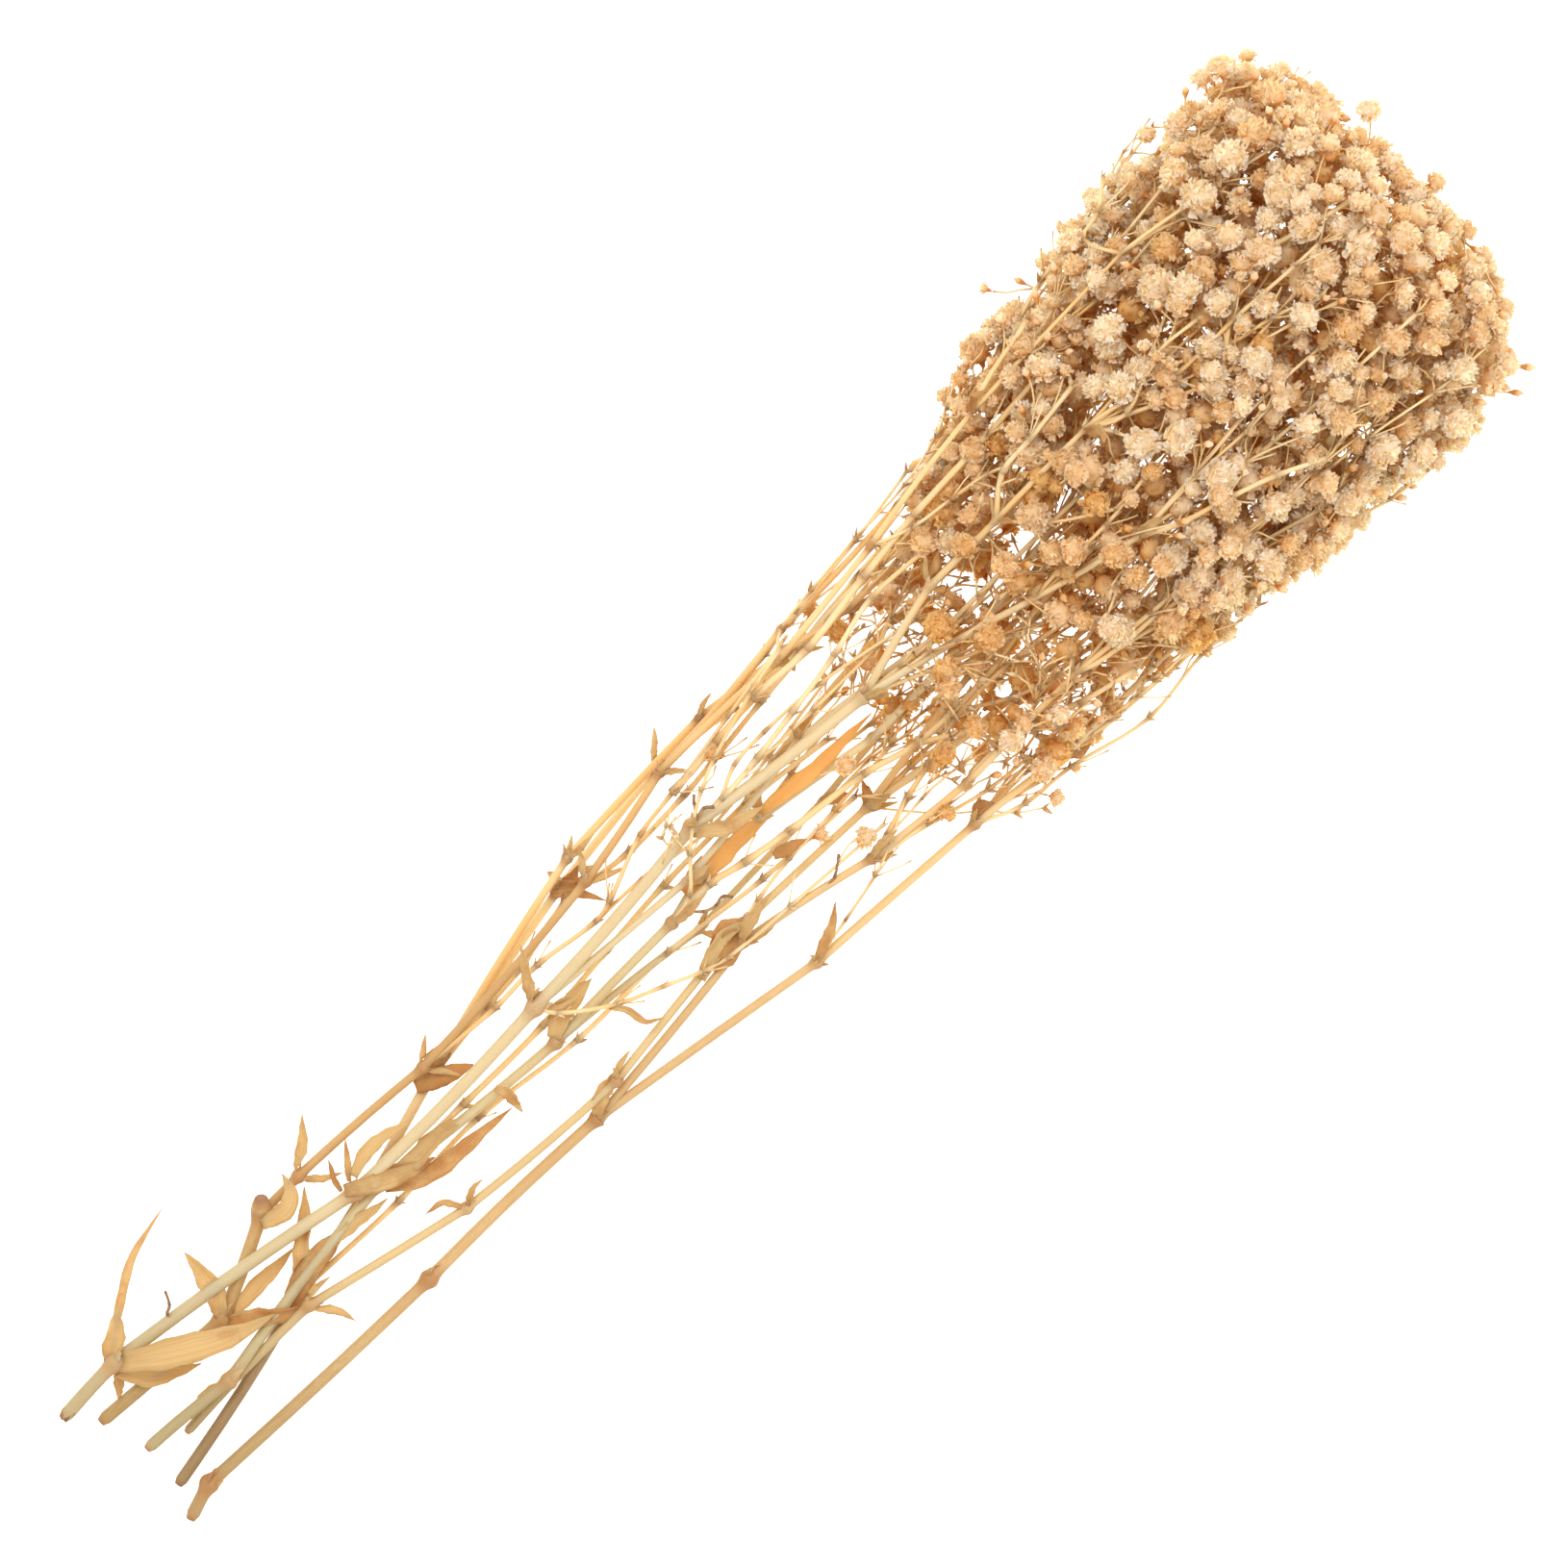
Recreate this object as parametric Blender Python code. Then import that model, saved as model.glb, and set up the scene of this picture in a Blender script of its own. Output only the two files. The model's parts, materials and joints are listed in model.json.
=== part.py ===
"""Dried baby's breath bouquet: six cut stems of double gypsophila lying together as one bunch.

Sizes are in millimetres and become metres where a mesh is made. X runs along the bunch from
the cut ends to the tip of the head, Y across it and Z up from the surface that it lies on.
Each stem is one grown piece: swollen joints, limbs, leaves, flower stalks, flowers and buds.
"""

import math

import bmesh
import bpy
import numpy as np

MM = 0.001
SEED = 11

# Driving dimensions of the bunch
BUNCH_MIDDLE = (274.0, -4.8)  # plan position that becomes X = 0, Y = 0
HEAD_STATIONS = (318.0, 345.0, 372.0, 402.0, 435.0, 470.0, 505.0, 530.0, 545.0)
HEAD_LEFT = (24.0, 31.0, 38.0, 50.0, 61.0, 62.0, 63.0, 63.0, 46.0)
HEAD_RIGHT = (-34.0, -56.0, -58.0, -60.0, -66.0, -70.0, -72.0, -70.0, -44.0)
HEAD_FLATNESS = 0.74  # height of the head's section over its width
HEAD_SINK = 0.10  # share of the half height by which its own weight flattens the underside
HEAD_CROWDING = 0.52  # below 1, flowers crowd toward the tip
BUD_CROWDING = 0.9
FLOWER_OUTWARD = 0.33  # below 0.5, flowers crowd toward the outside of the section
BUD_OUTWARD = (0.85, 1.05)  # buds stand at the outside, over the half width
FLOWER_ROOM = 1.2  # room looked for between two flowers
PLACE_TRIES = 400

# Driving dimensions of the flowers and their stalks
FLOWER_RADIUS = 5.4
SMALL_FLOWER_RADIUS = 4.3
BUD_RADIUS = 2.0
FLOWER_COUNT = 314
BUD_COUNT = 60
SMALL_FLOWER_SHARE = 0.4
STALK_RADIUS = 0.5  # a stalk that carries one flower
STALK_GROWTH = 0.24  # power by which a stalk thickens with the flowers it carries

PEDICEL = 13.0  # length of the last stalk, under a flower
FORK_STEP = 0.5  # share of a twig's way left after its first fork
LATEST_FORK = 0.8
PEDICEL_GROUP = 3  # so many flowers or fewer stand a last stalk's length past their fork
SPRAY_FLOWERS = 13  # most flowers on a spray that leaves a joint, before the joint bears two
MOST_SPRAYS = 3
GROUP_ROUNDS = 6

FIRST_SPRAY = 285.0  # X beyond which joints bear sprays of flowers
NEAREST_AHEAD = 17.0  # a flower stands at least so far on from the joint that bears it
AHEAD_COST = 0.45  # how readily a flower grows from a joint far behind it
BEHIND_COST = 1000.0
WIDEST_LEAN = 1.3  # a flower stands at most so far aside, over the way ahead
LEAN_ALLOWANCE = 6.0
LEAN_COST = 400.0

# Joints of the stems
KNOT = 1.55  # a swollen joint over its stem's radius
KNOT_RISE = 1.9  # how far a joint's swelling runs along the stem, over the radius
LEAST_KNOT_RADIUS = 1.15  # thinner limbs have no swollen joints
FORK_SWELL = 1.15
ROOT_DEPTH = 0.4  # how far behind a joint's middle a limb or spray starts, over its radius
END_RISE = 1.3  # how far the last joint bulges past its middle, over the radius
END_WIDTH = 0.8
SPRAY_FOOT = 0.8  # a spray's foot over the stalk it widens to

# Shape of a flower over its radius
PETAL_NOTCH = 0.6
PETAL_DROOP = 0.22
PETAL_RISE = 0.28
CROWN_WIDTH = 0.7
CROWN_RISE = 0.55
NECK_WIDTH = 0.14
FLOWER_FORMS = {
    "full": {"petals": 4, "base": 0.72, "tip": 0.22},
    "small": {"petals": 3, "base": 0.72, "tip": 0.25},
    "bud": {"petals": 0, "base": 1.0, "tip": 1.0},
}

# Leaves
LEAF_THICKNESS = 0.7
LEAF_SLENDER = 0.19  # width over length
LEAST_LEAF_WIDTH = 1.6
MOST_LEAF_WIDTH = 8.0
LEAF_LENGTHS = (15.0, 30.0)  # up to these a leaf has two stretches, then three, then four
LEAF_OUTLINE = (0.3, 1.0, 0.85, 0.6, 0.16)  # width along a leaf over its widest
LEAF_ROOT = 0.7  # depth of a leaf's root from the stem's middle, over the stem's radius
LEAST_PAIRED_LEAF = 11.0  # a shorter leaf stands alone at its joint
SECOND_LEAF = 0.75  # the second leaf of a pair over the first
LEAF_SIZES = (0.85, 1.15)
LEAF_LEAN = (0.5, 0.9)  # angle between the stem and a leaf's foot
LEAF_DROOP = (-0.7, 0.6)  # how far a leaf has curled by its tip
KEEL_DEPTH = 0.7
LEAF_REST = 0.55  # lowest middle of a leaf over its width
LEAF_TWIST = 0.9
LEAF_TRIES = 12
LEAF_GAP = 0.4

# Sides of the tubes, which all have a corner at the top
TRUNK_SIDES = 5
LIMB_SIDES = 4
TOP_CORNER = -math.pi / 2

SETTLE_ROUNDS = 240
PAIR_REFRESH = 20
PAIR_REACH = 5.0
LEAST_SHARE = 0.05  # a rod's end that far from a contact doesn't feel it
SMALLEST = 1e-9

# Clearances between what lies next to each other
NODE_GAP = 0.32
OWN_GAP = 0.15

# Lowest middle of a stem and of a flower above the surface, over its radius
STEM_REST = 0.74
FLOWER_REST = 0.66
CUT_MARGIN = 1e-8  # in metres

DRY_ROUGHNESS = 0.75

# How far points give way along X, Y and Z while the stems are eased apart
STEM_EASE = (0.0, 0.02, 0.1)
TWIG_EASE = (1.0, 1.0, 1.0)

# Routes of the stems: (x, y, z, leaf length) at each joint, with the radius at both ends.
# A limb starts at one of its stem's joints, counted from the cut end through all that went before.
STEMS = (
    {
        "name": "flowering_stem_1",
        "colour": (0.80, 0.64, 0.37),
        "trunk": (
            (0.5, 24.8, 7.0, 0), (21.0, 25.4, 9.0, 56), (109.0, 9.3, 11.4, 32),
            (187.0, 9.5, 22.0, 20), (259.0, 13.7, 33.0, 16), (323.0, 4.1, 42.0, 12),
        ),
        "radii": (2.2, 1.7),
        "limbs": (
            (5, ((360.0, 13.0, 53.0, 9), (387.0, 12.5, 62.0, 8), (424.0, 12.5, 74.0, 0),
                 (462.0, -6.0, 82.0, 0)), (1.4, 1.0)),
            (5, ((378.0, -11.5, 56.0, 9), (413.0, -21.0, 68.0, 0), (458.0, -18.0, 80.0, 0)),
             (1.3, 1.0)),
            (3, ((246.0, 3.5, 26.0, 12), (300.0, 9.0, 32.0, 0), (352.0, 1.0, 44.0, 0),
                 (410.0, 0.0, 60.0, 0)), (1.2, 0.9)),
        ),
    },
    {
        "name": "flowering_stem_2",
        "colour": (0.73, 0.49, 0.22),
        "trunk": ((6.0, 15.6, 1.6, 0), (52.7, 11.2, 5.0, 26), (84.0, 25.2, 8.0, 0)),
        "radii": (2.1, 2.1),
        "limbs": (
            (2, ((100.0, 25.0, 10.0, 18), (150.0, 21.0, 13.0, 12), (225.0, 25.0, 24.0, 14),
                 (264.0, 32.0, 30.0, 10)), (1.5, 1.2)),
            (6, ((312.0, 30.0, 36.0, 8), (356.0, 34.0, 50.0, 0), (405.0, 40.0, 64.0, 0),
                 (468.0, 41.0, 74.0, 0)), (1.2, 0.9)),
            (6, ((320.0, 36.0, 28.0, 8), (371.0, 37.0, 34.0, 0), (425.0, 47.0, 42.0, 0),
                 (480.0, 52.0, 44.0, 0)), (1.2, 0.9)),
        ),
    },
    {
        "name": "flowering_stem_3",
        "colour": (0.82, 0.66, 0.38),
        "trunk": (
            (10.3, -0.1, 6.0, 0), (41.0, -3.5, 9.0, 24), (115.0, 6.0, 8.0, 28),
            (183.6, -2.4, 14.0, 20), (234.0, -2.2, 20.0, 14), (275.0, 1.0, 24.0, 26),
        ),
        "radii": (1.9, 1.3),
        "limbs": (
            (5, ((316.0, -6.5, 28.0, 8), (366.0, -6.0, 36.0, 0), (420.0, 4.0, 44.0, 0),
                 (482.0, -2.0, 46.0, 0)), (1.3, 1.0)),
            (4, ((290.0, 10.0, 12.0, 8), (345.0, 14.0, 14.0, 0), (400.0, 14.0, 17.0, 0),
                 (455.0, 18.0, 19.0, 0)), (1.2, 0.9)),
            (3, ((238.0, -9.5, 12.0, 13), (292.0, -9.0, 12.0, 0), (350.0, -6.0, 14.0, 0),
                 (410.0, -6.0, 20.0, 0)), (1.2, 0.9)),
        ),
    },
    {
        "name": "flowering_stem_4",
        "colour": (0.66, 0.46, 0.25),
        "trunk": (
            (8.6, -13.9, 1.6, 0), (75.7, 0.0, 4.0, 36), (148.0, 17.0, 7.0, 24),
        ),
        "radii": (1.9, 1.6),
        "limbs": (
            (2, ((217.0, 29.4, 13.0, 14), (264.0, 34.0, 16.0, 12), (320.0, 28.0, 18.0, 8),
                 (372.0, 29.0, 22.0, 0), (430.0, 40.0, 24.0, 0), (476.0, 42.0, 24.0, 0)),
             (1.5, 0.9)),
            (2, ((226.0, 34.0, 21.0, 12), (284.0, 35.0, 25.0, 10), (338.0, 26.0, 30.0, 0),
                 (396.0, 24.0, 32.0, 0), (455.0, 24.0, 36.0, 0)), (1.3, 0.9)),
        ),
    },
    {
        "name": "flowering_stem_5",
        "colour": (0.78, 0.55, 0.27),
        "trunk": (
            (21.4, -4.9, 1.3, 0), (74.6, -4.5, 12.0, 14), (128.6, -18.1, 9.0, 14),
            (188.0, -23.6, 13.4, 12), (249.0, -17.6, 17.0, 16), (300.0, -20.0, 17.0, 10),
        ),
        "radii": (1.5, 1.2),
        "limbs": (
            (5, ((356.0, -28.3, 18.0, 0), (412.0, -30.0, 20.0, 0), (468.0, -28.0, 22.0, 0)),
             (1.2, 0.9)),
            (5, ((350.0, -14.0, 26.0, 0), (404.0, -16.0, 34.0, 0), (462.0, -20.0, 38.0, 0)),
             (1.2, 0.9)),
        ),
    },
    {
        "name": "flowering_stem_6",
        "colour": (0.75, 0.46, 0.20),
        "trunk": (
            (3.8, -23.7, 1.6, 0), (13.8, -20.8, 2.6, 5), (105.0, -25.1, 5.0, 6),
            (176.0, -27.5, 9.0, 16),
        ),
        "radii": (2.1, 1.8),
        "limbs": (
            (3, ((256.0, -41.8, 14.0, 14), (319.0, -46.6, 22.0, 10), (353.0, -51.0, 28.0, 6),
                 (402.0, -52.0, 38.0, 0), (462.0, -56.0, 42.0, 0)), (1.5, 0.9)),
            (3, ((245.0, -21.6, 19.0, 20), (290.0, -31.6, 28.0, 14), (326.0, -36.0, 36.0, 8),
                 (372.0, -36.0, 50.0, 0), (424.0, -42.0, 62.0, 0), (470.0, -44.0, 68.0, 0)),
             (1.4, 0.9)),
        ),
    },
)


def head_section(x):
    """Middle (y, z) and half width and half height of the head's section at x."""
    left = np.interp(x, HEAD_STATIONS, HEAD_LEFT)
    right = np.interp(x, HEAD_STATIONS, HEAD_RIGHT)
    half_width = (left - right) / 2
    half_height = half_width * HEAD_FLATNESS
    return (left + right) / 2, half_height * (1 - HEAD_SINK), half_width, half_height


def flower_places(rng):
    """Flower and bud positions with their radii, spread through the head, denser at its outside."""
    kinds = [FLOWER_RADIUS] * round(FLOWER_COUNT * (1 - SMALL_FLOWER_SHARE))
    kinds += [SMALL_FLOWER_RADIUS] * round(FLOWER_COUNT * SMALL_FLOWER_SHARE)
    kinds += [BUD_RADIUS] * BUD_COUNT
    places = []
    radii = []
    for radius in kinds:
        bud = radius == BUD_RADIUS
        best = None
        for _ in range(PLACE_TRIES):
            share = rng.random() ** (BUD_CROWDING if bud else HEAD_CROWDING)
            x = HEAD_STATIONS[0] + share * (HEAD_STATIONS[-1] - HEAD_STATIONS[0])
            middle_y, middle_z, half_width, half_height = head_section(x)
            out = rng.uniform(*BUD_OUTWARD) if bud else rng.random() ** FLOWER_OUTWARD
            round_angle = rng.random() * 2 * math.pi
            y = middle_y + (half_width - radius) * out * math.cos(round_angle)
            z = middle_z + (half_height - radius) * out * math.sin(round_angle)
            place = np.array((x, y, max(z, radius * FLOWER_REST)))
            room = math.inf
            if places:
                apart = np.linalg.norm(np.array(places) - place, axis=1)
                room = float(np.min(apart - np.array(radii) - radius))
            if best is None or room > best[0]:
                best = (room, place)
            if room > FLOWER_ROOM:
                break
        places.append(best[1])
        radii.append(radius)
    return np.array(places), np.array(radii)


class Web:
    """Points and rods that stand for stems, stalks and flowers while they are eased apart."""

    def __init__(self):
        self.points = []
        self.ease = []
        self.rods = []

    def add_point(self, place, ease):
        """Number of a new point, which gives way by its ease along X, Y and Z."""
        self.points.append(np.array(place, dtype=float))
        self.ease.append(ease)
        return len(self.points) - 1

    def add_late(self, place):
        """Number of a point added after the rods were eased apart."""
        self.points = np.vstack((self.points, place))
        return len(self.points) - 1

    def add_rod(self, start, end, radius, stem):
        """A rod from point to point, or a ball where both are the same point."""
        self.rods.append((start, end, radius, stem))

    def close_pairs(self, points, reach):
        """Index pairs of rods near enough to meet, without those that share a point."""
        starts, ends, radii, stems = self.columns
        middles = (points[starts] + points[ends]) / 2
        halves = np.linalg.norm(points[ends] - points[starts], axis=1) / 2 + radii
        first, second = np.triu_indices(len(starts), 1)
        apart = np.linalg.norm(middles[first] - middles[second], axis=1)
        near = apart < halves[first] + halves[second] + reach
        first, second = first[near], second[near]
        joined = (starts[first] == starts[second]) | (starts[first] == ends[second])
        joined |= (ends[first] == starts[second]) | (ends[first] == ends[second])
        return first[~joined], second[~joined]

    @property
    def columns(self):
        """Start points, end points, radii and stems of all rods."""
        rods = np.array(self.rods)
        return rods[:, 0].astype(int), rods[:, 1].astype(int), rods[:, 2], rods[:, 3].astype(int)

    def gaps(self, points, first, second):
        """Share along both rods of each pair at their closest place, and the vector between."""
        starts, ends, _, _ = self.columns
        run_a = points[ends[first]] - points[starts[first]]
        run_b = points[ends[second]] - points[starts[second]]
        between = points[starts[first]] - points[starts[second]]
        aa = np.sum(run_a * run_a, axis=1)
        bb = np.sum(run_b * run_b, axis=1)
        ab = np.sum(run_a * run_b, axis=1)
        ac = np.sum(run_a * between, axis=1)
        bc = np.sum(run_b * between, axis=1)
        flat = np.maximum(aa * bb - ab * ab, SMALLEST)
        share_a = np.clip((ab * bc - ac * bb) / flat, 0, 1)
        share_b = np.clip((ab * share_a + bc) / np.maximum(bb, SMALLEST), 0, 1)
        share_a = np.clip((ab * share_b - ac) / np.maximum(aa, SMALLEST), 0, 1)
        vector = between + share_a[:, None] * run_a - share_b[:, None] * run_b
        return share_a, share_b, vector

    def settle(self, rounds, refresh):
        """Ease the rods apart until each pair has its gap, and keep them above the surface."""
        points = np.array(self.points)
        ease = np.array(self.ease)
        starts, ends, radii, stems = self.columns
        lowest = np.zeros(len(points))
        rest = radii * np.where(starts == ends, FLOWER_REST, STEM_REST)
        np.maximum.at(lowest, starts, rest)
        np.maximum.at(lowest, ends, rest)
        for turn in range(rounds):
            if turn % refresh == 0:
                first, second = self.close_pairs(points, PAIR_REACH)
                wanted = radii[first] + radii[second]
                wanted += np.where(stems[first] == stems[second], OWN_GAP, NODE_GAP)
            share_a, share_b, vector = self.gaps(points, first, second)
            length = np.maximum(np.linalg.norm(vector, axis=1), SMALLEST)
            lack = wanted - length
            tight = lack > 0
            if not tight.any():
                break
            normal = vector[tight] / length[tight, None]
            corners = (
                (starts[first[tight]], 1 - share_a[tight], 1.0),
                (ends[first[tight]], share_a[tight], 1.0),
                (starts[second[tight]], 1 - share_b[tight], -1.0),
                (ends[second[tight]], share_b[tight], -1.0),
            )
            give = SMALLEST
            for index, share, _ in corners:
                give = give + share**2 * np.sum(normal**2 * ease[index], axis=1)
            moves = np.zeros_like(points)
            counts = np.ones(len(points))
            for index, share, sign in corners:
                step = sign * (share * lack[tight] / give)[:, None] * normal * ease[index]
                np.add.at(moves, index, step)
                np.add.at(counts, index, (share > LEAST_SHARE) / 2)
            points += moves / counts[:, None]
            points[:, 2] = np.maximum(points[:, 2], lowest)
        self.points = points


class Twig:
    """One stalk and what stands on its end: a fork of further twigs, or a flower."""

    def __init__(self, point, radius, flower=0.0):
        self.point = point
        self.radius = radius
        self.flower = flower
        self.children = []


def split(places, members, parts):
    """Members in so many groups of near neighbours."""
    spots = places[members]
    seeds = [spots[np.argmax(np.linalg.norm(spots - spots.mean(axis=0), axis=1))]]
    while len(seeds) < parts:
        apart = np.min([np.linalg.norm(spots - seed, axis=1) for seed in seeds], axis=0)
        seeds.append(spots[np.argmax(apart)])
    seeds = np.array(seeds)
    for _ in range(GROUP_ROUNDS):
        nearest = np.argmin(np.linalg.norm(spots[:, None] - seeds[None], axis=2), axis=1)
        for part in range(parts):
            if (nearest == part).any():
                seeds[part] = spots[nearest == part].mean(axis=0)
    groups = [members[nearest == part] for part in range(parts)]
    return [group for group in groups if len(group)]


def stalk_radius(flowers):
    """Radius of a stalk that carries so many flowers."""
    return STALK_RADIUS * flowers**STALK_GROWTH


def grow(web, places, radii, members, start, stem):
    """Twig that carries the members, forking in twos and threes on its way to them."""
    carried = len(members)
    if carried == 1:
        radius = radii[members[0]]
        twig = Twig(web.add_point(places[members[0]], TWIG_EASE), stalk_radius(1), radius)
        web.add_rod(start, twig.point, twig.radius, stem)
        web.add_rod(twig.point, twig.point, radius, stem)
        return twig
    foot = web.points[start]
    centre = places[members].mean(axis=0)
    reach = np.linalg.norm(centre - foot)
    ahead = (centre - foot) / reach
    behind = PEDICEL if carried <= PEDICEL_GROUP else FORK_STEP * (reach - PEDICEL)
    fork = centre - ahead * min(behind, reach * LATEST_FORK)
    twig = Twig(web.add_point(fork, TWIG_EASE), stalk_radius(carried))
    web.add_rod(start, twig.point, twig.radius, stem)
    parts = 2 if carried in (2, 4) else 3
    for group in split(places, members, parts):
        twig.children.append(grow(web, places, radii, group, twig.point, stem))
    return twig


class Limb:
    """A run of joints: a stem's trunk, or a limb that leaves one of the trunk's joints."""

    def __init__(self, web, joints, radii, stem, parent=None):
        self.stem = stem
        self.parent = parent
        self.leaves = [joint[3] for joint in joints]
        self.points = [web.add_point(joint[:3], STEM_EASE) for joint in joints]
        if parent is not None:
            self.points.insert(0, parent)
            self.leaves.insert(0, 0)
        self.radii = np.linspace(radii[0], radii[1], len(self.points))
        for start, end, radius in zip(self.points, self.points[1:], self.radii):
            web.add_rod(start, end, radius, stem)
        for point, radius in zip(self.points[1:], self.radii[1:]):
            web.add_rod(point, point, radius * KNOT, stem)
        self.sprays = []


def plant(web):
    """All trunks and limbs, as one list."""
    limbs = []
    for stem, plan in enumerate(STEMS):
        trunk = Limb(web, plan["trunk"], plan["radii"], stem)
        limbs.append(trunk)
        grown = list(trunk.points)
        for joint, joints, radii in plan["limbs"]:
            limb = Limb(web, joints, radii, stem, grown[joint])
            limbs.append(limb)
            grown += limb.points[1:]
    return limbs


def flower_up(web, limbs, rng):
    """Give every flower to the joint that it would grow from, and grow the sprays to them."""
    places, radii = flower_places(rng)
    sources = []
    for limb in limbs:
        far = [point for point in limb.points[1:] if web.points[point][0] > FIRST_SPRAY]
        sources += [(limb, point) for point in far]
    feet = np.array([web.points[point] for _, point in sources])
    run = places[:, None] - feet[None]
    ahead = run[:, :, 0]
    aside = np.linalg.norm(run[:, :, 1:], axis=2)
    cost = aside + AHEAD_COST * ahead
    cost += BEHIND_COST * (ahead < NEAREST_AHEAD)
    cost += LEAN_COST * (aside > ahead * WIDEST_LEAN + LEAN_ALLOWANCE)
    owner = np.argmin(cost, axis=1)
    for index, (limb, point) in enumerate(sources):
        members = np.nonzero(owner == index)[0]
        if not len(members):
            continue
        parts = min(MOST_SPRAYS, 1 + len(members) // SPRAY_FLOWERS)
        for group in split(places, members, parts):
            limb.sprays.append((point, grow(web, places, radii, group, point, limb.stem)))


def unit(vector):
    """The vector at length 1."""
    return vector / max(np.linalg.norm(vector), SMALLEST)


def across(axis):
    """Two directions square to the axis and to each other: level, and across that."""
    side = unit(np.cross(axis, (0.0, 0.0, 1.0) if abs(axis[2]) < 0.9 else (0.0, 1.0, 0.0)))
    return side, np.cross(axis, side)


class Shell:
    """Vertices and outward triangles of one closed shape, in millimetres."""

    def __init__(self):
        self.vertices = []
        self.faces = []

    def add(self, places):
        """Numbers of new vertices at the places."""
        first = len(self.vertices)
        self.vertices += [np.array(place) for place in places]
        return list(range(first, len(self.vertices)))

    def ring(self, centre, axis, radii, turn=0.0, lifts=None):
        """A ring round the axis with one vertex for each radius, lifted along the axis."""
        side, up = across(axis)
        count = len(radii)
        lifts = lifts or [0.0] * count
        places = []
        for k, (radius, lift) in enumerate(zip(radii, lifts)):
            angle = turn + 2 * math.pi * k / count
            spoke = math.cos(angle) * side + math.sin(angle) * up
            places.append(centre + radius * spoke + lift * axis)
        return self.add(places)

    def turn_of(self, vertex, centre, axis):
        """Angle of a vertex round the axis, as ring() measures it."""
        side, up = across(axis)
        spoke = self.vertices[vertex] - centre
        return math.atan2(float(np.dot(spoke, up)), float(np.dot(spoke, side)))

    def stitch(self, lower, upper):
        """Triangles between two rings that start at about the same angle."""
        i = j = 0
        while i < len(lower) or j < len(upper):
            here, there = lower[i % len(lower)], upper[j % len(upper)]
            lower_next = (i + 1) / len(lower) <= (j + 1) / len(upper)
            if j == len(upper) or (i < len(lower) and lower_next):
                i += 1
                self.faces.append((here, lower[i % len(lower)], there))
            else:
                j += 1
                self.faces.append((here, upper[j % len(upper)], there))

    def cap(self, ring, outward=True):
        """A flat fan over a ring."""
        for k in range(1, len(ring) - 1):
            corners = (ring[0], ring[k], ring[k + 1])
            self.faces.append(corners if outward else corners[::-1])

    def cone(self, ring, tip):
        """A pointed end from a ring to its tip."""
        for k, corner in enumerate(ring):
            self.faces.append((corner, ring[(k + 1) % len(ring)], tip))


def tube(shell, line, radii, sides):
    """A closed tube along a line of points."""
    last = None
    for k, place in enumerate(line):
        ahead = unit(line[min(k + 1, len(line) - 1)] - place) if k + 1 < len(line) else 0.0
        behind = unit(place - line[k - 1]) if k else 0.0
        axis = unit(ahead + behind)
        ring = shell.ring(place, axis, [radii[k]] * sides, TOP_CORNER)
        if last is None:
            shell.cap(ring, outward=False)
        else:
            shell.stitch(last, ring)
        last = ring
    shell.cap(last)


def stem_line(points, radii):
    """Places and radii along a limb, with a swollen joint at each point but the first."""
    line = [points[0] + unit(points[0] - points[1]) * radii[0] * ROOT_DEPTH]
    widths = [radii[0]]
    for k in range(1, len(points)):
        if radii[k] < LEAST_KNOT_RADIUS:
            line.append(points[k])
            widths.append(radii[k])
            continue
        back = unit(points[k - 1] - points[k])
        line.append(points[k] + back * radii[k] * KNOT_RISE)
        widths.append(radii[k])
        line.append(points[k])
        widths.append(radii[k] * KNOT)
        if k + 1 < len(points):
            ahead = unit(points[k + 1] - points[k])
            line.append(points[k] + ahead * radii[k] * KNOT_RISE)
            widths.append(radii[k])
    line.append(points[-1] + unit(points[-1] - points[-2]) * radii[-1] * END_RISE)
    widths.append(radii[-1] * END_WIDTH)
    return line, widths


def fork_ring(shell, centre, axis, radius, children):
    """Three vertices round a fork, between the ways its twigs leave, and the order of these."""
    side, up = across(axis)
    angles = []
    for child in children:
        way = child - centre
        angles.append(math.atan2(float(np.dot(way, up)), float(np.dot(way, side))) % (2 * math.pi))
    order = sorted(range(len(children)), key=lambda k: angles[k])
    angles = [angles[k] for k in order]
    if len(angles) == 2:
        angles.append(angles[1] + (2 * math.pi + angles[0] - angles[1]) / 2)
    third = 2 * math.pi / 3
    middle = sum(angle - k * third for k, angle in enumerate(angles)) / 3
    angles = [(angle + middle + k * third) / 2 for k, angle in enumerate(angles)]
    corners = []
    for k, angle in enumerate(angles):
        before = angles[k - 1] if k else angles[-1] - 2 * math.pi
        corners.append((before + angle) / 2)
    places = [
        centre + radius * (math.cos(angle) * side + math.sin(angle) * up) for angle in corners
    ]
    return shell.add(places), order


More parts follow.
